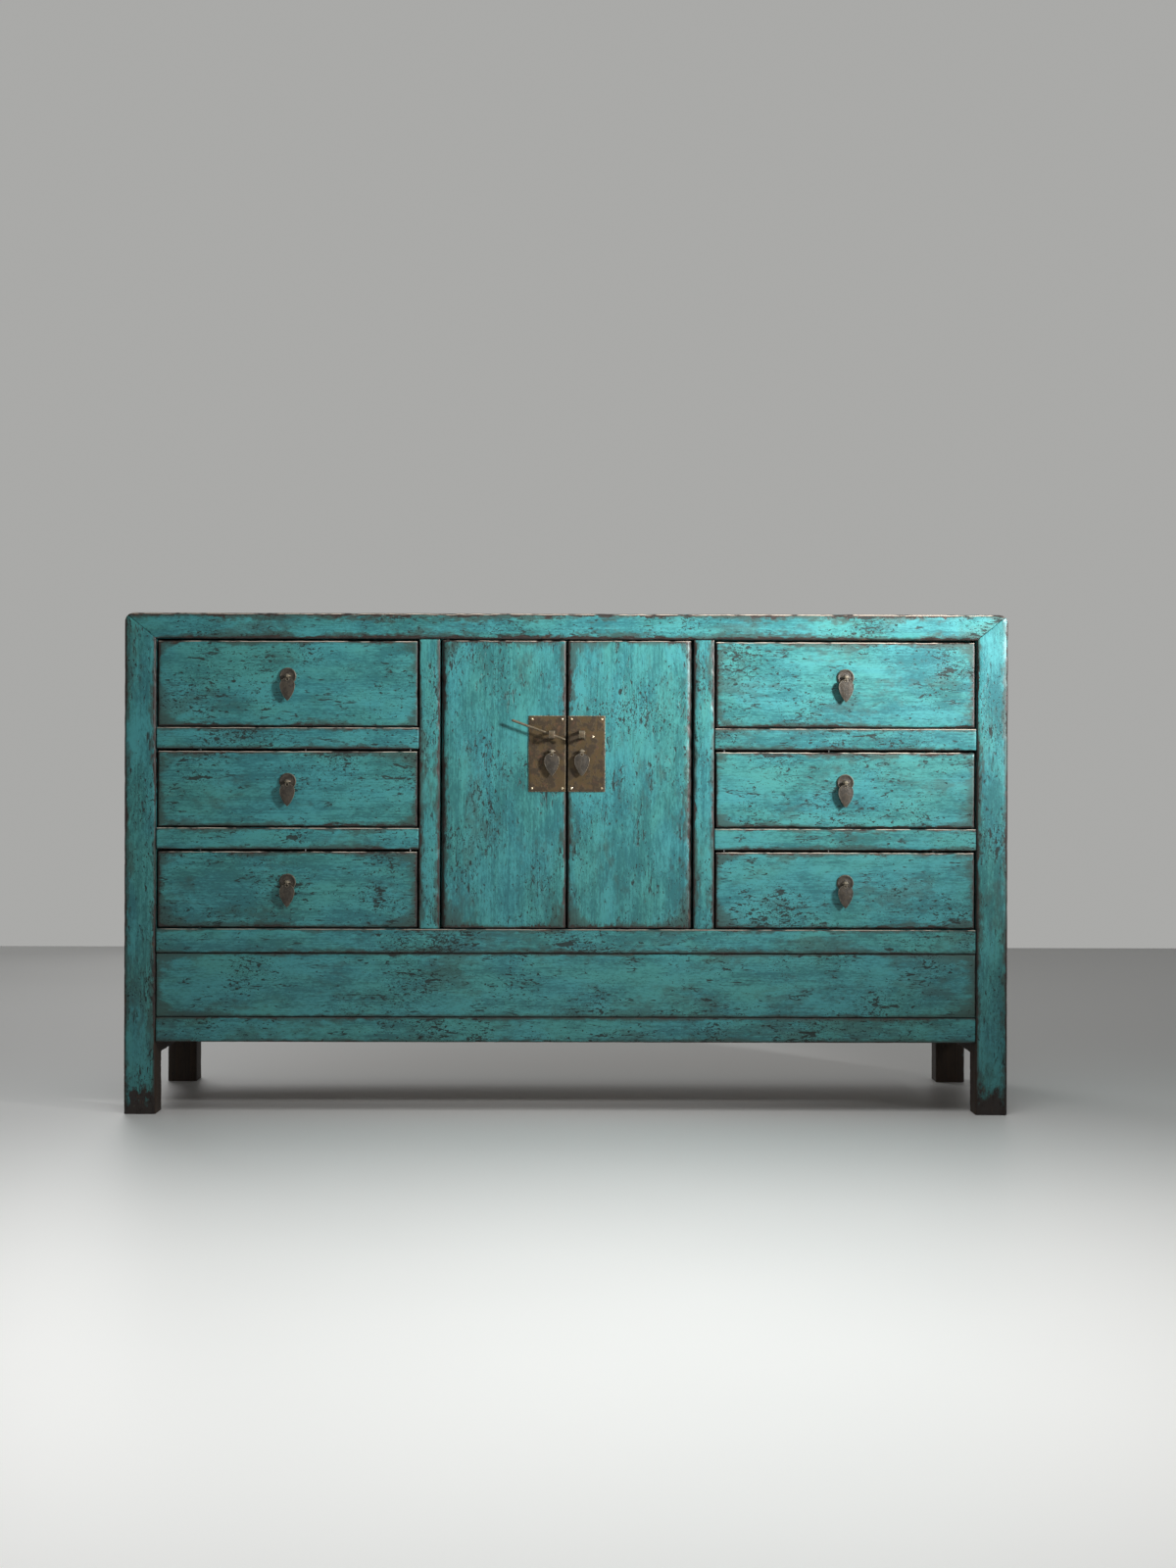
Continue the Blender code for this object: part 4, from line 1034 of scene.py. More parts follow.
def lacquered(node, surfaces, body="carcass", backs=None, below=None):
    """A piece in lacquer, with bare wood on faces that look the way backs points, darkened as painted shade
    where they lie lower than below.
    """
    second = "wood" if below is None else "leg_wood"
    finishes = [finish_of("lacquer")] + ([finish_of(second)] if backs else [])
    dress(f"worn_{node}", surfaces, finishes, body, [node], backs, below)


def mitred(low, high, along, seed, rounds, ends, wear=1.0):
    """A member of the top's mitred corners, rounded with the case where it is seen from the front."""
    make = settings().boards
    member = board(low, high, along, seed, rounds, ends, make.seat, wear, worn_ends=False)
    round_ends(member["points"], 0.0, X_OUT, Z, Z_TOP, 1, make.corner_round)
    return member


class SIDEBOARD_OT_posts(bpy.types.Operator):
    """Four posts from the floor to the mitred corners."""

    bl_idname = "sideboard.posts"
    bl_label = "Posts"

    def execute(self, context):
        make = settings().boards
        corners = ((1, -1), (1, 1), (-1, 1), (-1, -1))

        def mitre(x, y):
            return Z_TOP - make.seat - RAIL_HEIGHT * corner_shares(x=x, y=y)

        for index, (end, out) in enumerate((("front", -1), ("back", 1))):
            for side_name, side in SIDES:
                node = f"post_{end}_{side_name}"
                low, high = box_of(node)
                high[Z] = Z_TOP
                rounds = [make.outer_arris if x == side or y == out else make.arris for x, y in corners]
                post = mitred(low, high, Z, SEEDS["post"] + 2 * index + side, rounds, (None, mitre))
                # Faces that look inward, and backward on the back posts, take bare wood below the apron,
                # darkened as painted shade under the case
                bare = (-side, -1 if end == "back" else 0, 0)
                lacquered(node, [post], backs=bare, below=Z_APRON)
        return {"FINISHED"}


class SIDEBOARD_OT_top(bpy.types.Operator):
    """The top's four mitred rails and its panel of two planks."""

    bl_idname = "sideboard.top"
    bl_label = "Top"

    def execute(self, context):
        make = settings().boards
        outer, inner = make.outer_arris, make.arris

        def left(y, z):
            return -X_OUT + make.seat + POST_WIDTH * corner_shares(y=y, z=z)

        def right(y, z):
            return X_OUT - make.seat - POST_WIDTH * corner_shares(y=y, z=z)

        def front(z, x):
            return Y_FRONT + make.seat + POST_DEPTH * corner_shares(x=x, z=z)

        def back(z, x):
            return Y_BACK - make.seat - POST_DEPTH * corner_shares(x=x, z=z)

        for index, end in enumerate(("front", "back")):
            node = f"top_rail_{end}"
            low, high = box_of(node)
            low[X], high[X] = -X_OUT, X_OUT
            rounds = [inner, inner, outer, inner] if end == "front" else [inner, outer, inner, inner]
            rail = mitred(low, high, X, SEEDS["top_rail"] + index, rounds, (left, right), 1.5)
            lacquered(node, [rail])
        for side_name, side in SIDES:
            node = f"top_rail_{side_name}"
            low, high = box_of(node)
            low[Y], high[Y] = Y_FRONT, Y_BACK
            rounds = [outer if side < 0 else inner, outer if side > 0 else inner, inner, inner]
            rail = mitred(low, high, Y, SEEDS["top_end"] + side, rounds, (front, back))
            lacquered(node, [rail])
        low, high = seated("top_panel", BETWEEN_SIDES, BETWEEN_ENDS)
        edges = np.linspace(low[Y], high[Y], TOP_PLANKS + 1)
        planks = []
        for index in range(TOP_PLANKS):
            low[Y], high[Y] = edges[index:index + 2]
            planks.append(board(low, high, X, SEEDS["top_plank"] + index, wear=0.35, worn_ends=False))
        lacquered("top_panel", planks)
        return {"FINISHED"}


class SIDEBOARD_OT_front_frame(bpy.types.Operator):
    """Rails, stiles and apron of the front."""

    bl_idname = "sideboard.front_frame"
    bl_label = "Front frame"

    def execute(self, context):
        # A rail's wear also sets how much painted highlight its upper arris takes
        for index, (node, wear) in enumerate((("waist_rail", 0.58), ("bottom_rail_front", 0.42))):
            box = seated(node, BETWEEN_SIDES)
            lacquered(node, [board(*box, X, SEEDS["rail"] + index, wear=wear, worn_ends=False)])
        box = seated("apron_panel", BETWEEN_SIDES, (Z, Z_APRON, Z_WAIST))
        lacquered("apron_panel", [board(*box, X, SEEDS["apron"], wear=0.3)])
        for side_name, side in SIDES:
            node = f"stile_{side_name}"
            low, high = seated(node, (Z, Z_OPENING, Z_TOP_RAIL))
            lacquered(node, [board(low, high, Z, SEEDS["stile"] + side, worn_ends=False)])
            ends = sorted((side * X_POST, high[X] if side > 0 else low[X]))
            for index, tier in enumerate(("lower", "upper")):
                node = f"drawer_rail_{side_name}_{tier}"
                seed = SEEDS["drawer_rail"] + 3 * side + index
                lacquered(node, [board(*seated(node, (X, *ends)), X, seed, wear=0.7, worn_ends=False)])
        return {"FINISHED"}


class SIDEBOARD_OT_sides(bpy.types.Operator):
    """Side panels, low rails and the planked back."""

    bl_idname = "sideboard.sides"
    bl_label = "Sides and back"

    def execute(self, context):
        for side_name, side in SIDES:
            node = f"side_panel_{side_name}"
            box = seated(node, BETWEEN_ENDS, BETWEEN_RAILS)
            panel = board(*box, Z, SEEDS["side_panel"] + side, worn_ends=False, wear=0.3)
            lacquered(node, [panel], backs=(-side, 0, 0))
            node = f"low_rail_{side_name}"
            rail = board(*seated(node, BETWEEN_ENDS), Y, SEEDS["low_rail"] + side, worn_ends=False)
            # The rail's inner face and underside take bare wood darkened as painted shade
            lacquered(node, [rail], backs=(-side, 0, -1), below=Z_LOW_RAIL)
        rail = board(*seated("low_rail_back", BETWEEN_SIDES), X, SEEDS["low_back"], worn_ends=False)
        lacquered("low_rail_back", [rail])
        low, high = seated("back_panel", BETWEEN_SIDES, BETWEEN_RAILS)
        edges = np.linspace(low[X], high[X], BACK_PLANKS + 1)
        seat = settings().boards.seat
        planks = []
        for index in range(BACK_PLANKS):
            low[X], high[X] = edges[index] + seat, edges[index + 1] - seat
            seed = SEEDS["back_plank"] + index
            planks.append(board(low, high, Z, seed, worn_ends=False, steps=COARSE_BACK))
        dress("planked_back", planks, [finish_of("wood")], "carcass", ["back_panel"])
        return {"FINISHED"}


class SIDEBOARD_OT_inside(bpy.types.Operator):
    """Bare wood for the floor, partitions and runners, whose solids stay."""

    bl_idname = "sideboard.inside"
    bl_label = "Inside"

    def execute(self, context):
        finishes = {"floor_board": "wood_across"}
        for side_name, _ in SIDES:
            finishes[f"partition_{side_name}"] = "wood_deep"
            finishes[f"runner_rack_{side_name}"] = "wood_deep"
        for node, finish in finishes.items():
            solid = frame["nodes"][node]
            solid.data.materials.clear()
            solid.data.materials.append(finish_of(finish))
        return {"FINISHED"}


# Drawers and their pulls
FRONT_ARRIS = 0.003
DRAWER_WALL = 0.011
DRAWER_BASE = 0.008


def drawer_boards(low, high, seed):
    """The sides, back and base of a drawer box."""
    seat = settings().boards.seat
    left, right, rear = low[X] + DRAWER_WALL, high[X] - DRAWER_WALL, high[Y] - DRAWER_WALL
    boxes = (
        (low, (left, high[Y], high[Z]), Y, 39),
        ((right, low[Y], low[Z]), high, Y, 41),
        ((left + seat, rear, low[Z]), (right - seat, high[Y], high[Z]), X, 60),
        ((left + seat, low[Y], low[Z]), (right - seat, rear - seat, low[Z] + DRAWER_BASE), X, 80),
    )
    return [board(start, stop, axis, seed + shift, steps=COARSE_BOX) for start, stop, axis, shift in boxes]


class SIDEBOARD_OT_drawers(bpy.types.Operator):
    """Drawer fronts in lacquer and drawer boxes of bare boards."""

    bl_idname = "sideboard.drawers"
    bl_label = "Drawers"

    def execute(self, context):
        rounds = [HIDDEN_ARRIS, HIDDEN_ARRIS, FRONT_ARRIS, FRONT_ARRIS]
        for side_index, (side_name, _) in enumerate(SIDES):
            for tier_index, tier in enumerate(TIERS):
                body = f"drawer_{side_name}_{tier}"
                seed = SEEDS["drawer"] + 10 * side_index + tier_index
                node = f"{body}_front"
                low, high = box_of(node)
                front = board(low, high, X, seed, rounds, end_round=HIDDEN_ARRIS, steps=FINE_FRONT)
                middle, half = (low[X] + high[X]) / 2, (high[X] - low[X]) / 2
                round_ends(front["points"], middle, half, Y, low[Y], -1, FRONT_ARRIS)
                lacquered(node, [front], body, (0, 1, 0))
                node = f"{body}_box"
                boards = drawer_boards(*box_of(node), seed)
                dress(f"boarded_{node}", boards, [finish_of("wood")], body, [node])
        return {"FINISHED"}


EYE_WIRE = 0.0013
CLEARANCE = 0.0003
KNUCKLE = (0.0032, 0.0056)
KNUCKLE_GRID = (24, 12)
# An arris distance that spreads the bright rubbed patches over a whole knuckle or eye wire: partly wear
# where the leaf rubs, partly painted highlight
RUBBED_GLINT_ARRIS = 0.0003
DULL_ARRIS = 0.00078
ROOT = 0.002


def hook(start, stop, half, bend, count):
    """The path of a bent wire: out from a face, round a quarter turn, across, and back in likewise.

    Gives its places out from the face and to either side, half away at most.
    """
    turn = np.linspace(0, math.pi / 2, 7)
    out = np.concatenate([np.linspace(start, stop + bend, count + 1)[:-1], stop + bend * (1 - np.sin(turn))])
    aside = np.concatenate([np.full(count, half), half - bend * (1 - np.cos(turn))])
    return np.concatenate([out, out[::-1]]), np.concatenate([aside, -aside[::-1]])


def eye_surface(x, y_root, y_bar, z, seed):
    """A staple: a round wire that comes out of the face, crosses and goes back in."""
    half = KNUCKLE[1] / 2 + CLEARANCE + EYE_WIRE
    out, aside = hook(y_root, y_bar, half, EYE_WIRE * 1.6, 6)
    path = np.stack([x - aside, out, np.full(len(out), z)], 1)
    wire = sweep(path, (0, 0, 1), ring_shape(EYE_WIRE, 12), seed)
    # The whole wire takes bright rubbed patches: wear and painted highlight
    wire["arris"][:, 0] = RUBBED_GLINT_ARRIS
    return wire


def knuckle_surface(x, y, z, seed):
    """The rolled knuckle of a leaf: a ring round the staple's bar, as a rounded section turned.

    At the angles a round the bar and s round the section, reach = middle + thick * c and across =
    length / 2 * d, where c and d are cos s and sin s with their sizes raised to 1/2.
    """
    radius, length = KNUCKLE
    bore = EYE_WIRE + CLEARANCE
    middle, thick = (radius + bore) / 2, (radius - bore) / 2
    turns = [np.arange(count) * math.tau / count for count in KNUCKLE_GRID]
    around, section = np.meshgrid(*turns, indexing="ij")
    reach = middle + thick * np.sign(np.cos(section)) * np.abs(np.cos(section)) ** 0.5
    across = length / 2 * np.sign(np.sin(section)) * np.abs(np.sin(section)) ** 0.5
    places = [x + across, y + reach * np.cos(around), z + reach * np.sin(around)]
    points = np.stack(places, -1).reshape(-1, 3)
    faces = grid_quads(*KNUCKLE_GRID, True)[:, ::-1], NO_TRIS
    # The whole knuckle takes bright rubbed patches: wear and painted highlight
    arris = np.full(points.shape, RUBBED_GLINT_ARRIS)
    return surface(points, faces, arris, points + somewhere(np.random.default_rng(seed)))


LEAF_NECK = 0.0034
LEAF_NECK_SHARE = 0.3
LEAF_SHOULDER = 0.64
LEAF_FULLNESS = 0.75
LEAF_BLADE = 0.0007
LEAF_DOME = 0.0010
LEAF_BEND = 0.0004
LEAF_RIM = 0.0005
LEAF_HOLE = 0.0021
LEAF_HOLE_DROP = 0.0057
LEAF_TOP = 0.0018
LEAF_SPOKES = 41
LEAF_ROWS = 15


def leaf_surface(x, y, z, length, width, seed):
    """A leaf with a punched eye under its knuckle: rings of points from the hole to the outline and back.

    Down the share s of the blade the outline's half width is width / 2 * sin(pi * s^0.64)^0.75,
    and never less than the neck at the top. A point at the share t of a spoke lies at
    hole + t * (outline - hole). The front stands out by a dome of 1 - (place / half width)^2 and
    by a narrow rim along the outline and round the hole; the back lies a blade's thickness behind.
    """
    neck = KNUCKLE[1] / 2 - CLEARANCE
    share = np.linspace(0, 1, 240)
    half = width / 2 * np.sin(math.pi * share**LEAF_SHOULDER).clip(0) ** LEAF_FULLNESS
    half = np.where(share < LEAF_NECK_SHARE, np.maximum(half, neck), half)
    drop = LEAF_NECK + share * (length - LEAF_NECK)
    line = np.concatenate([[(0.0, LEAF_TOP), (neck, LEAF_TOP)], np.stack([half, drop], 1)])
    travel = np.cumsum(np.linalg.norm(np.diff(line, axis=0, prepend=line[:1]), axis=1))
    even = np.linspace(0, travel[-1], LEAF_SPOKES)
    right = np.stack([np.interp(even, travel, line[:, 0]), np.interp(even, travel, line[:, 1])], 1)
    right[-1, 0] = 0.0
    outline = np.concatenate([right, right[-2:0:-1] * (-1, 1)])
    middle = np.array([0.0, LEAF_HOLE_DROP])
    spoke = outline - middle
    reach = np.linalg.norm(spoke, axis=1, keepdims=True)
    hole = middle + spoke / reach * LEAF_HOLE
    forth = (1 - np.cos(np.linspace(0, math.pi, LEAF_ROWS))) / 2
    loop = np.concatenate([forth, forth[-2:0:-1]])
    front = np.concatenate([np.ones(LEAF_ROWS), -np.ones(LEAF_ROWS - 2)])
    front[[0, LEAF_ROWS - 1]] = 0.0
    place = hole[:, None] + loop[None, :, None] * (outline - hole)[:, None]
    span = reach - LEAF_HOLE
    inner, outer = loop[None] * span, (1 - loop)[None] * span
    wide = np.interp(place[..., 1], line[:, 1], line[:, 0]).clip(1e-4)
    swell = np.clip((place[..., 1] - 0.006) / 0.008, 0, 1)
    swell = swell * np.clip((length - place[..., 1]) / 0.006, 0.1, 1)
    dome = LEAF_DOME * np.clip(1 - (place[..., 0] / wide) ** 2, 0, 1) * swell
    rim = np.exp(-((outer / 0.0012) ** 2)) + np.exp(-((inner / 0.0009) ** 2))
    rim = LEAF_RIM * rim * (front > 0)
    bend = LEAF_BEND * np.sin(place[..., 1] / length * math.pi)
    y_place = y - dome - bend - front[None] * LEAF_BLADE - rim
    points = np.stack([x + place[..., 0], y_place, z - place[..., 1]], -1).reshape(-1, 3)
    arris = np.full(points.shape, FAR)
    arris[:, 0] = np.minimum(inner, outer).reshape(-1)
    faces = grid_quads(len(outline), len(loop), True), NO_TRIS
    return surface(points, faces, arris, points + somewhere(np.random.default_rng(seed)))


def leaf_piece(node, seed):
    """A swinging leaf with its knuckle, in place of its solid; gives the place of its bar."""
    low, high = box_of(node)
    x, y = (low[X] + high[X]) / 2, (low[Y] + high[Y]) / 2
    z = high[Z] - KNUCKLE[0]
    blade = leaf_surface(x, y, z, z - low[Z], high[X] - low[X], seed)
    surfaces = [blade, knuckle_surface(x, y, z, seed)]
    dress(f"aged_{node}", surfaces, [finish_of("leaf")], node, [node])
    return x, y, z


# Share of the radius and rise of a rosette, from its middle to its rim
ROSETTE = (
    (0.0, 0.0030), (0.14, 0.0029), (0.22, 0.0026), (0.28, 0.0021), (0.42, 0.0018), (0.58, 0.0016),
    (0.70, 0.0016), (0.77, 0.0018), (0.83, 0.0023), (0.88, 0.0025), (0.93, 0.0023), (0.97, 0.0017),
    (0.995, 0.0010), (1.0, 0.0006), (0.99, 0.0), (0.0, 0.0),
)


class SIDEBOARD_OT_pulls(bpy.types.Operator):
    """Rosettes, their eyes and the leaves of the drawers."""

    bl_idname = "sideboard.pulls"
    bl_label = "Drawer pulls"

    def execute(self, context):
        for side_index, (side_name, _) in enumerate(SIDES):
            for tier_index, tier in enumerate(TIERS):
                body = f"drawer_{side_name}_{tier}"
                seed = SEEDS["pull"] + 10 * side_index + tier_index
                x, y_bar, z = leaf_piece(f"{body}_leaf", seed)
                node = f"{body}_rosette"
                low, high = box_of(node)
                profile = np.array(ROSETTE) * ((high[X] - low[X]) / 2, 1)
                disc = turned((x, high[Y], z), (0, -1, 0), profile, seed, 48, 0.006)
                eye = eye_surface(x, high[Y] - ROOT, y_bar, z, seed)
                dress(f"aged_{node}", [disc, eye], [finish_of("leaf")], body, [node])
        return {"FINISHED"}


# Doors and their lock
DOOR_THICKNESS = 0.020
DOOR_FOOT_GAP = 0.0015
DOOR_HEAD_GAP = 0.002
DOOR_WEAR = 1.25
HINGE_ROUND = 0.0097
PEG_RADIUS = 0.005
PEG_ROOT = 0.002
PEG_EDGE = 0.0006
BATTEN_HEIGHT = 0.040
BATTEN_MARGIN = 0.026
BATTEN_FROM_END = 0.070
BATTEN_BEDDING = 0.001


def peg_surface(x, y, start, stop):
    """An upright peg with eased ends."""
    rise, narrow = stop - start, PEG_RADIUS * 0.9
    profile = [(0, 0), (narrow, 0), (PEG_RADIUS, PEG_EDGE)]
    profile += [(PEG_RADIUS, rise - PEG_EDGE), (narrow, rise), (0, rise)]
    return turned((x, y, start), (0, 0, 1), profile, SEEDS["peg"], 24)


class SIDEBOARD_OT_doors(bpy.types.Operator):
    """Doors with battens and pivot pegs."""

    bl_idname = "sideboard.doors"
    bl_label = "Doors"

    def execute(self, context):
        for side_name, side in SIDES:
            node = f"door_{side_name}"
            low, high = box_of(node)
            peg_low, peg_high, y_batten = low[Z], high[Z], high[Y]
            low[Z], high[Z] = Z_OPENING + DOOR_FOOT_GAP, Z_TOP_RAIL - DOOR_HEAD_GAP
            high[Y] = low[Y] + DOOR_THICKNESS
            meeting, hinge = (low[X], high[X]) if side > 0 else (high[X], low[X])
            x_pivot, y_pivot = hinge - side * DOOR_THICKNESS / 2, low[Y] + DOOR_THICKNESS / 2
            rounds = [FRONT_ARRIS, HIDDEN_ARRIS, HINGE_ROUND, HINGE_ROUND]
            if side > 0:
                rounds.reverse()
            surfaces = [board(low, high, Z, SEEDS["door"] + side, rounds, end_round=HIDDEN_ARRIS,
                              steps=FINE_FRONT, wear=DOOR_WEAR)]
            ends = sorted((meeting + side * BATTEN_MARGIN, x_pivot - side * BATTEN_MARGIN))
            for sign, z_mid in ((1, low[Z] + BATTEN_FROM_END), (-1, high[Z] - BATTEN_FROM_END)):
                surfaces.append(board(
                    (ends[0], high[Y] - BATTEN_BEDDING, z_mid - BATTEN_HEIGHT / 2),
                    (ends[1], y_batten, z_mid + BATTEN_HEIGHT / 2),
                    X, SEEDS["batten"] + side + sign, steps=COARSE_BATTEN,
                ))
            surfaces.append(peg_surface(x_pivot, y_pivot, peg_low, low[Z] + PEG_ROOT))
            surfaces.append(peg_surface(x_pivot, y_pivot, high[Z] - PEG_ROOT, peg_high))
            lacquered(node, surfaces, node, (0, 1, 0))
        return {"FINISHED"}


LUG_WIDTH = 0.010
LUG_STRIP = 0.0025
LUG_REACH = 0.022
LUG_HEIGHT = 0.01435
LUG_BEND = 0.003
LUG_ARRIS = 0.0005
LUG_ABOVE_FOOT = 0.098
PLATE_SHEET = 0.0015
PLATE_ARRIS = 0.0006
PLATE_CHIP = 0.0005
PLATE_ROOT = 0.0005
NAIL_RADIUS = 0.0024
NAIL_ROOT = 0.0003
NAIL_INSET = 0.006
ODD_NAIL = (0.043, 0.095)
PIN_SLANT = math.radians(20.0)
PIN_THICKNESS = 0.96
# Share of the pin's length and of its thickness, next to its two ends
PIN_HEAD = ((0, 0.55), (0.004, 0.86), (0.012, 0.98))
PIN_TIP = ((0.988, 0.82), (0.996, 0.70), (1.0, 0.45))


def lug_surface(x, y_plate, z, seed):
    """A lug: a flat strip bent into a square loop that stands out of the plate."""
    y_far = y_plate - LUG_REACH + LUG_STRIP / 2
    out, aside = hook(y_plate + PLATE_ROOT, y_far, LUG_HEIGHT / 2 - LUG_STRIP / 2, LUG_BEND, 7)
    path = np.stack([np.full(len(out), x), out, z + aside], 1)
    section = rounded_section((LUG_STRIP, LUG_WIDTH), [LUG_ARRIS] * 4, 0.002)
    centre, normal, radius, reach, _ = section
    strip = sweep(path, (1, 0, 0), centre + radius[:, None] * normal, seed)
    strip["arris"][:-2, 0] = np.tile(reach, len(path))
    return strip


def nail_surface(x, y, z, seed):
    """A low domed nail head on the plate."""
    turn = np.linspace(0, math.pi / 2, 6)
    dome = np.stack([NAIL_RADIUS * np.sin(turn), NAIL_RADIUS * 0.5 * np.cos(turn)], 1)
    profile = np.concatenate([dome, [(NAIL_RADIUS * 0.98, -NAIL_ROOT), (0.0, -NAIL_ROOT)]])
    return turned((x, y, z), (0, -1, 0), profile, seed, 20, 0.03)


def pin_surface(low, high, seed):
    """The pin: a tapering rod on the slanting line through the middle of its solid's box."""
    radius = (high[Y] - low[Y]) / 2
    length = math.hypot(high[X] - low[X], high[Z] - low[Z]) - 2 * radius * math.sin(PIN_SLANT)
    shank = np.stack([np.linspace(0.03, 0.97, 40), np.linspace(1.0, 0.86, 40)], 1)
    share, taper = np.concatenate([PIN_HEAD, shank, PIN_TIP]).T
    direction = np.array([math.cos(PIN_SLANT), 0.0, -math.sin(PIN_SLANT)])
    path = (low + high) / 2 + (share[:, None] - 0.5) * length * direction
    pin = sweep(path, (0, 1, 0), ring_shape(radius * PIN_THICKNESS, 20), seed, taper)
    pin["arris"][:, 0] = DULL_ARRIS
    return pin


class SIDEBOARD_OT_lock(bpy.types.Operator):
    """Lock plates with lugs, eyes, nails and leaves, and the pin."""

    bl_idname = "sideboard.lock"
    bl_label = "Lock"

    def execute(self, context):
        for side_name, side in SIDES:
            node = f"lock_plate_{side_name}"
            body = f"door_{side_name}"
            x_lug, y_bar, z_leaf = leaf_piece(f"{node}_leaf", SEEDS["plate_leaf"] + side)
            low, high = box_of(node)
            y_plate = high[Y] - PLATE_SHEET
            low[Y] = y_plate
            seed = SEEDS["plate"] + side
            sheet = board(low, high, Z, seed, [PLATE_ARRIS] * 4, steps=FINE_SHEET, chip=PLATE_CHIP)
            lug = lug_surface(x_lug, y_plate, low[Z] + LUG_ABOVE_FOOT, SEEDS["lug"] + side)
            eye = eye_surface(x_lug, y_plate + PLATE_ROOT, y_bar, z_leaf, SEEDS["eye"] + side)
            dress(f"aged_{node}", [sheet], [finish_of("plate")], body, [node])
            dress(f"{node}_lug", [lug, eye], [finish_of("lug")], body, [node])
            places = [(x, z) for x in (low[X] + NAIL_INSET, high[X] - NAIL_INSET)
                      for z in (low[Z] + NAIL_INSET, high[Z] - NAIL_INSET)]
            if side > 0:
                places.append((low[X] + ODD_NAIL[0], low[Z] + ODD_NAIL[1]))
            nails = [nail_surface(x, y_plate, z, SEEDS["nail"] + i) for i, (x, z) in enumerate(places)]
            dress(f"{node}_nails", nails, [finish_of("nail")], body, [node])
        pin = pin_surface(*box_of("lock_pin"), SEEDS["pin"])
        dress("aged_lock_pin", [pin], [finish_of("lug")], "lock_pin", ["lock_pin"])
        return {"FINISHED"}


# Stage
FLOOR_REACH = 3.4
SENSOR_WIDTH = 36.0
FRAME_HEIGHT = 1600
# Lamp, its power's setting, place, target, size and spread in degrees
LAMPS = (
    ("key_light", "key", (2.4, -1.9, 1.55), (0.56, -0.20, 1.08), 0.4, 37.0),
    ("floor_light", "fill", (0.1, -1.75, 2.4), (0.1, -1.6, 0.0), 1.6, 75.0),
    ("back_light", "behind", (-1.6, 3.0, 2.2), (0.0, 0.2, 0.4), 1.6, 120.0),
)


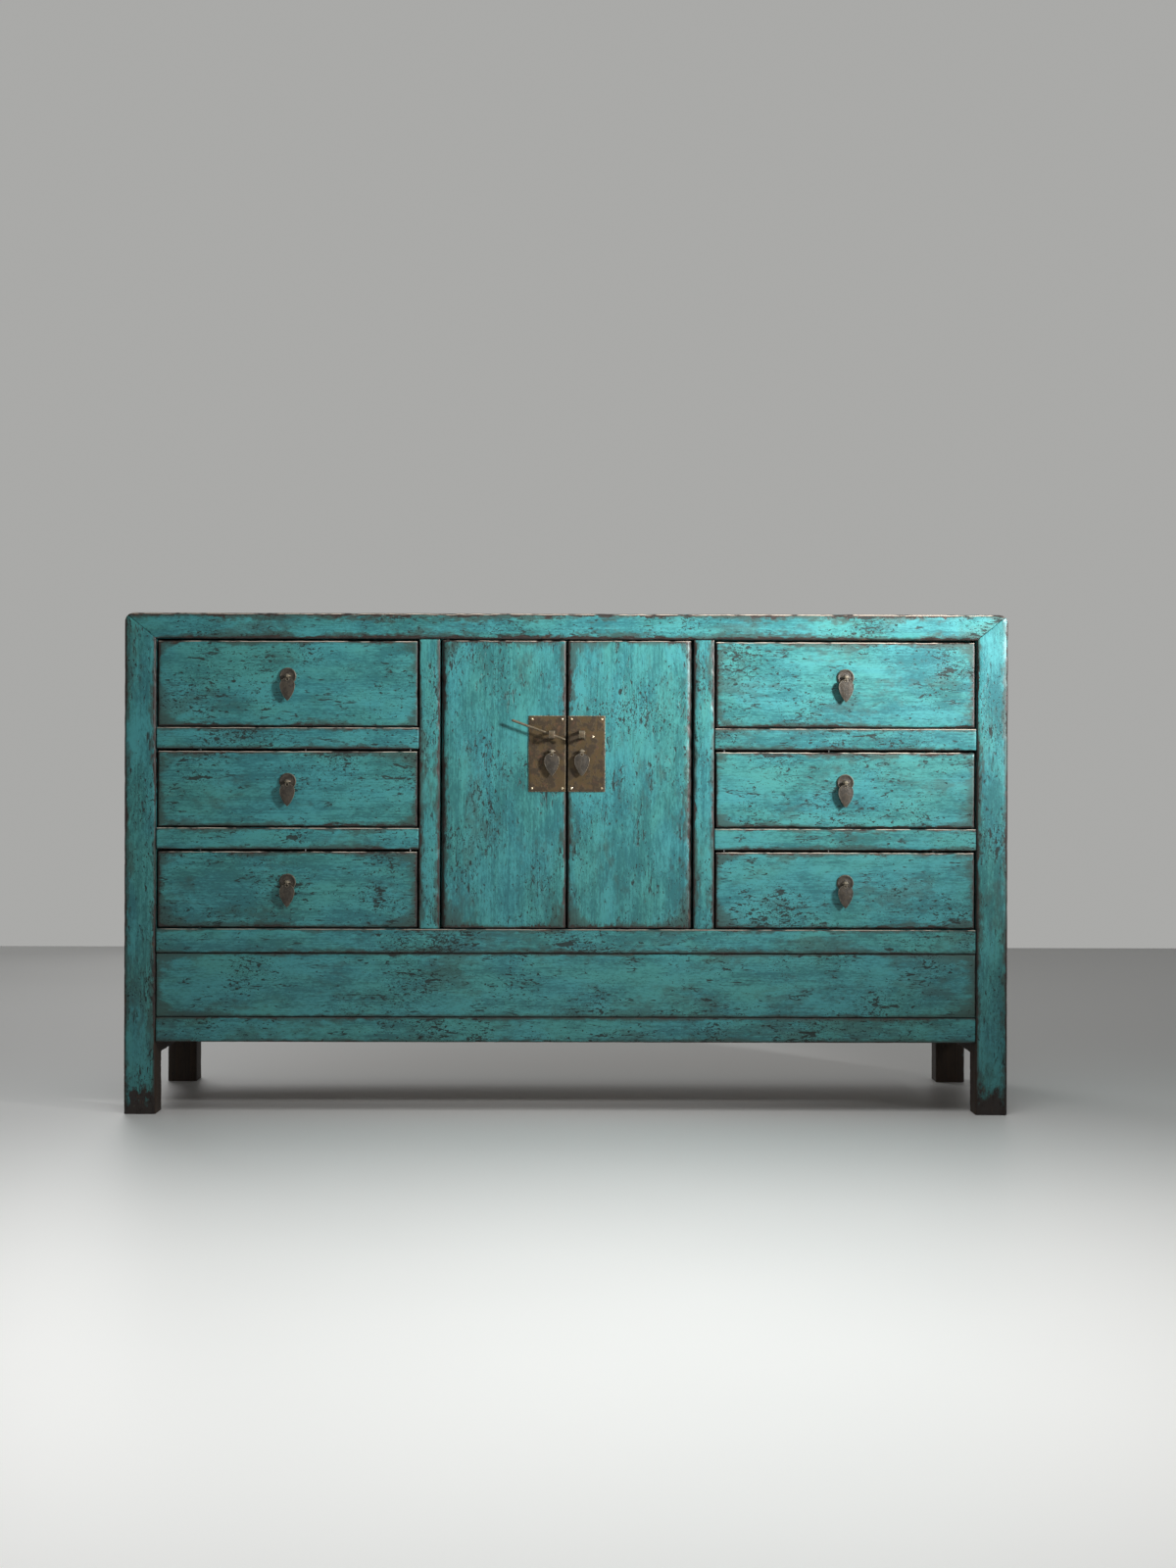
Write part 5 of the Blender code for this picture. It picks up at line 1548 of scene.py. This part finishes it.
class SIDEBOARD_OT_stage(bpy.types.Operator):
    """Floor, light and camera."""

    bl_idname = "sideboard.stage"
    bl_label = "Stage"

    def execute(self, context):
        look = settings().stage
        self.floor(look)
        self.world(look)
        for name, power, *given in LAMPS:
            self.lamp(name, getattr(look, power), *given)
        self.camera(look)
        context.scene.view_settings.view_transform = "Standard"
        return {"FINISHED"}

    def seen(self, tree):
        """1 for rays from the camera, a reflection or a refraction, and 0 for diffuse light."""
        path = tree.node("ShaderNodeLightPath").outputs
        share = tree.math("ADD", path["Is Camera Ray"], path["Is Glossy Ray"])
        return tree.math("ADD", share, path["Is Transmission Ray"], clamp=True)

    def floor(self, look):
        """A wide pale floor with a faint unevenness in its gloss."""
        bpy.ops.mesh.primitive_grid_add(x_subdivisions=2, y_subdivisions=2, size=2 * FLOOR_REACH)
        floor = bpy.context.object
        floor.name = "studio_floor"
        material, tree, shader = new_material("pale_floor")
        cloud = tree.noise(tree.coordinate("Object"), 1.3, 3.0)
        shade = tree.blend(cloud, opaque(look.floor, 0.97), opaque(look.floor))
        shade = tree.blend(self.seen(tree), opaque(look.floor, 0.75), shade)
        tree.feed(shader, {"Base Color": shade, "Roughness": tree.plus(0.42, cloud, 0.1)})
        floor.data.materials.append(material)

    def world(self, look):
        """Even light, with the backdrop's colour for the camera and for glossy rays."""
        world = bpy.data.worlds.new("studio_world")
        world.use_nodes = True
        tree = Tree(world.node_tree)
        light = world.node_tree.nodes["Background"]
        tree.feed(light, {"Color": (1.0, 1.0, 1.0, 1.0), "Strength": look.ambient})
        backdrop = tree.node("ShaderNodeBackground", {"Color": opaque(look.backdrop)}).outputs[0]
        given = {0: self.seen(tree), 1: light.outputs[0], 2: backdrop}
        mixed = tree.node("ShaderNodeMixShader", given).outputs[0]
        tree.feed(world.node_tree.nodes["World Output"], {"Surface": mixed})
        bpy.context.scene.world = world

    def lamp(self, name, power, place, target, size, spread):
        """A square soft lamp that looks at a target."""
        data = bpy.data.lights.new(name, "AREA")
        data.size = size
        data.energy = power
        data.spread = math.radians(spread)
        lamp = bpy.data.objects.new(name, data)
        lamp.location = place
        lamp.rotation_mode = "QUATERNION"
        lamp.rotation_quaternion = (Vector(target) - Vector(place)).to_track_quat("-Z", "Y")
        bpy.context.scene.collection.objects.link(lamp)

    def camera(self, look):
        """The photograph's viewpoint, from its yaw, pitch and roll."""
        yaw, pitch, roll = look.turn
        level = Vector((-math.sin(yaw), math.cos(yaw), 0.0))
        right = Vector((math.cos(yaw), math.sin(yaw), 0.0))
        up = level * math.sin(pitch) + Vector((0.0, 0.0, math.cos(pitch)))
        forward = level * math.cos(pitch) - Vector((0.0, 0.0, math.sin(pitch)))
        rolled_right = right * math.cos(roll) + up * math.sin(roll)
        rolled_up = up * math.cos(roll) - right * math.sin(roll)
        data = bpy.data.cameras.new("photo_camera")
        data.sensor_width = SENSOR_WIDTH
        data.lens = look.focal / FRAME_HEIGHT * SENSOR_WIDTH
        camera = bpy.data.objects.new("photo_camera", data)
        turn = Matrix((rolled_right, rolled_up, -forward)).transposed().to_4x4()
        camera.matrix_world = Matrix.Translation(Vector(look.eye)) @ turn
        bpy.context.scene.collection.objects.link(camera)
        bpy.context.scene.camera = camera


STEPS = (
    SIDEBOARD_OT_posts,
    SIDEBOARD_OT_top,
    SIDEBOARD_OT_front_frame,
    SIDEBOARD_OT_sides,
    SIDEBOARD_OT_inside,
    SIDEBOARD_OT_drawers,
    SIDEBOARD_OT_pulls,
    SIDEBOARD_OT_doors,
    SIDEBOARD_OT_lock,
    SIDEBOARD_OT_stage,
)


class SIDEBOARD_PT_panel(bpy.types.Panel):
    """Lists the steps in the sidebar."""

    bl_idname = "SIDEBOARD_PT_panel"
    bl_label = "Lacquer sideboard"
    bl_space_type = "VIEW_3D"
    bl_region_type = "UI"
    bl_category = "Sideboard"

    def draw(self, context):
        column = self.layout.column(align=True)
        for step in STEPS:
            column.operator(step.bl_idname)


CLASSES = (
    LacquerSettings,
    WoodSettings,
    MetalSettings,
    BoardSettings,
    StageSettings,
    SideboardSettings,
    *STEPS,
    SIDEBOARD_PT_panel,
)


def register():
    """Registers the classes and the scene's settings."""
    for item in CLASSES:
        bpy.utils.register_class(item)
    bpy.types.Scene.sideboard = bpy.props.PointerProperty(type=SideboardSettings)


def unregister():
    """Takes the settings and classes away again."""
    del bpy.types.Scene.sideboard
    for item in reversed(CLASSES):
        bpy.utils.unregister_class(item)


def main():
    """Dresses the sideboard, piece by piece."""
    register()
    for step in STEPS:
        group, name = step.bl_idname.split(".")
        getattr(getattr(bpy.ops, group), name)()
    bpy.context.view_layer.update()


if __name__ == "__main__":
    main()
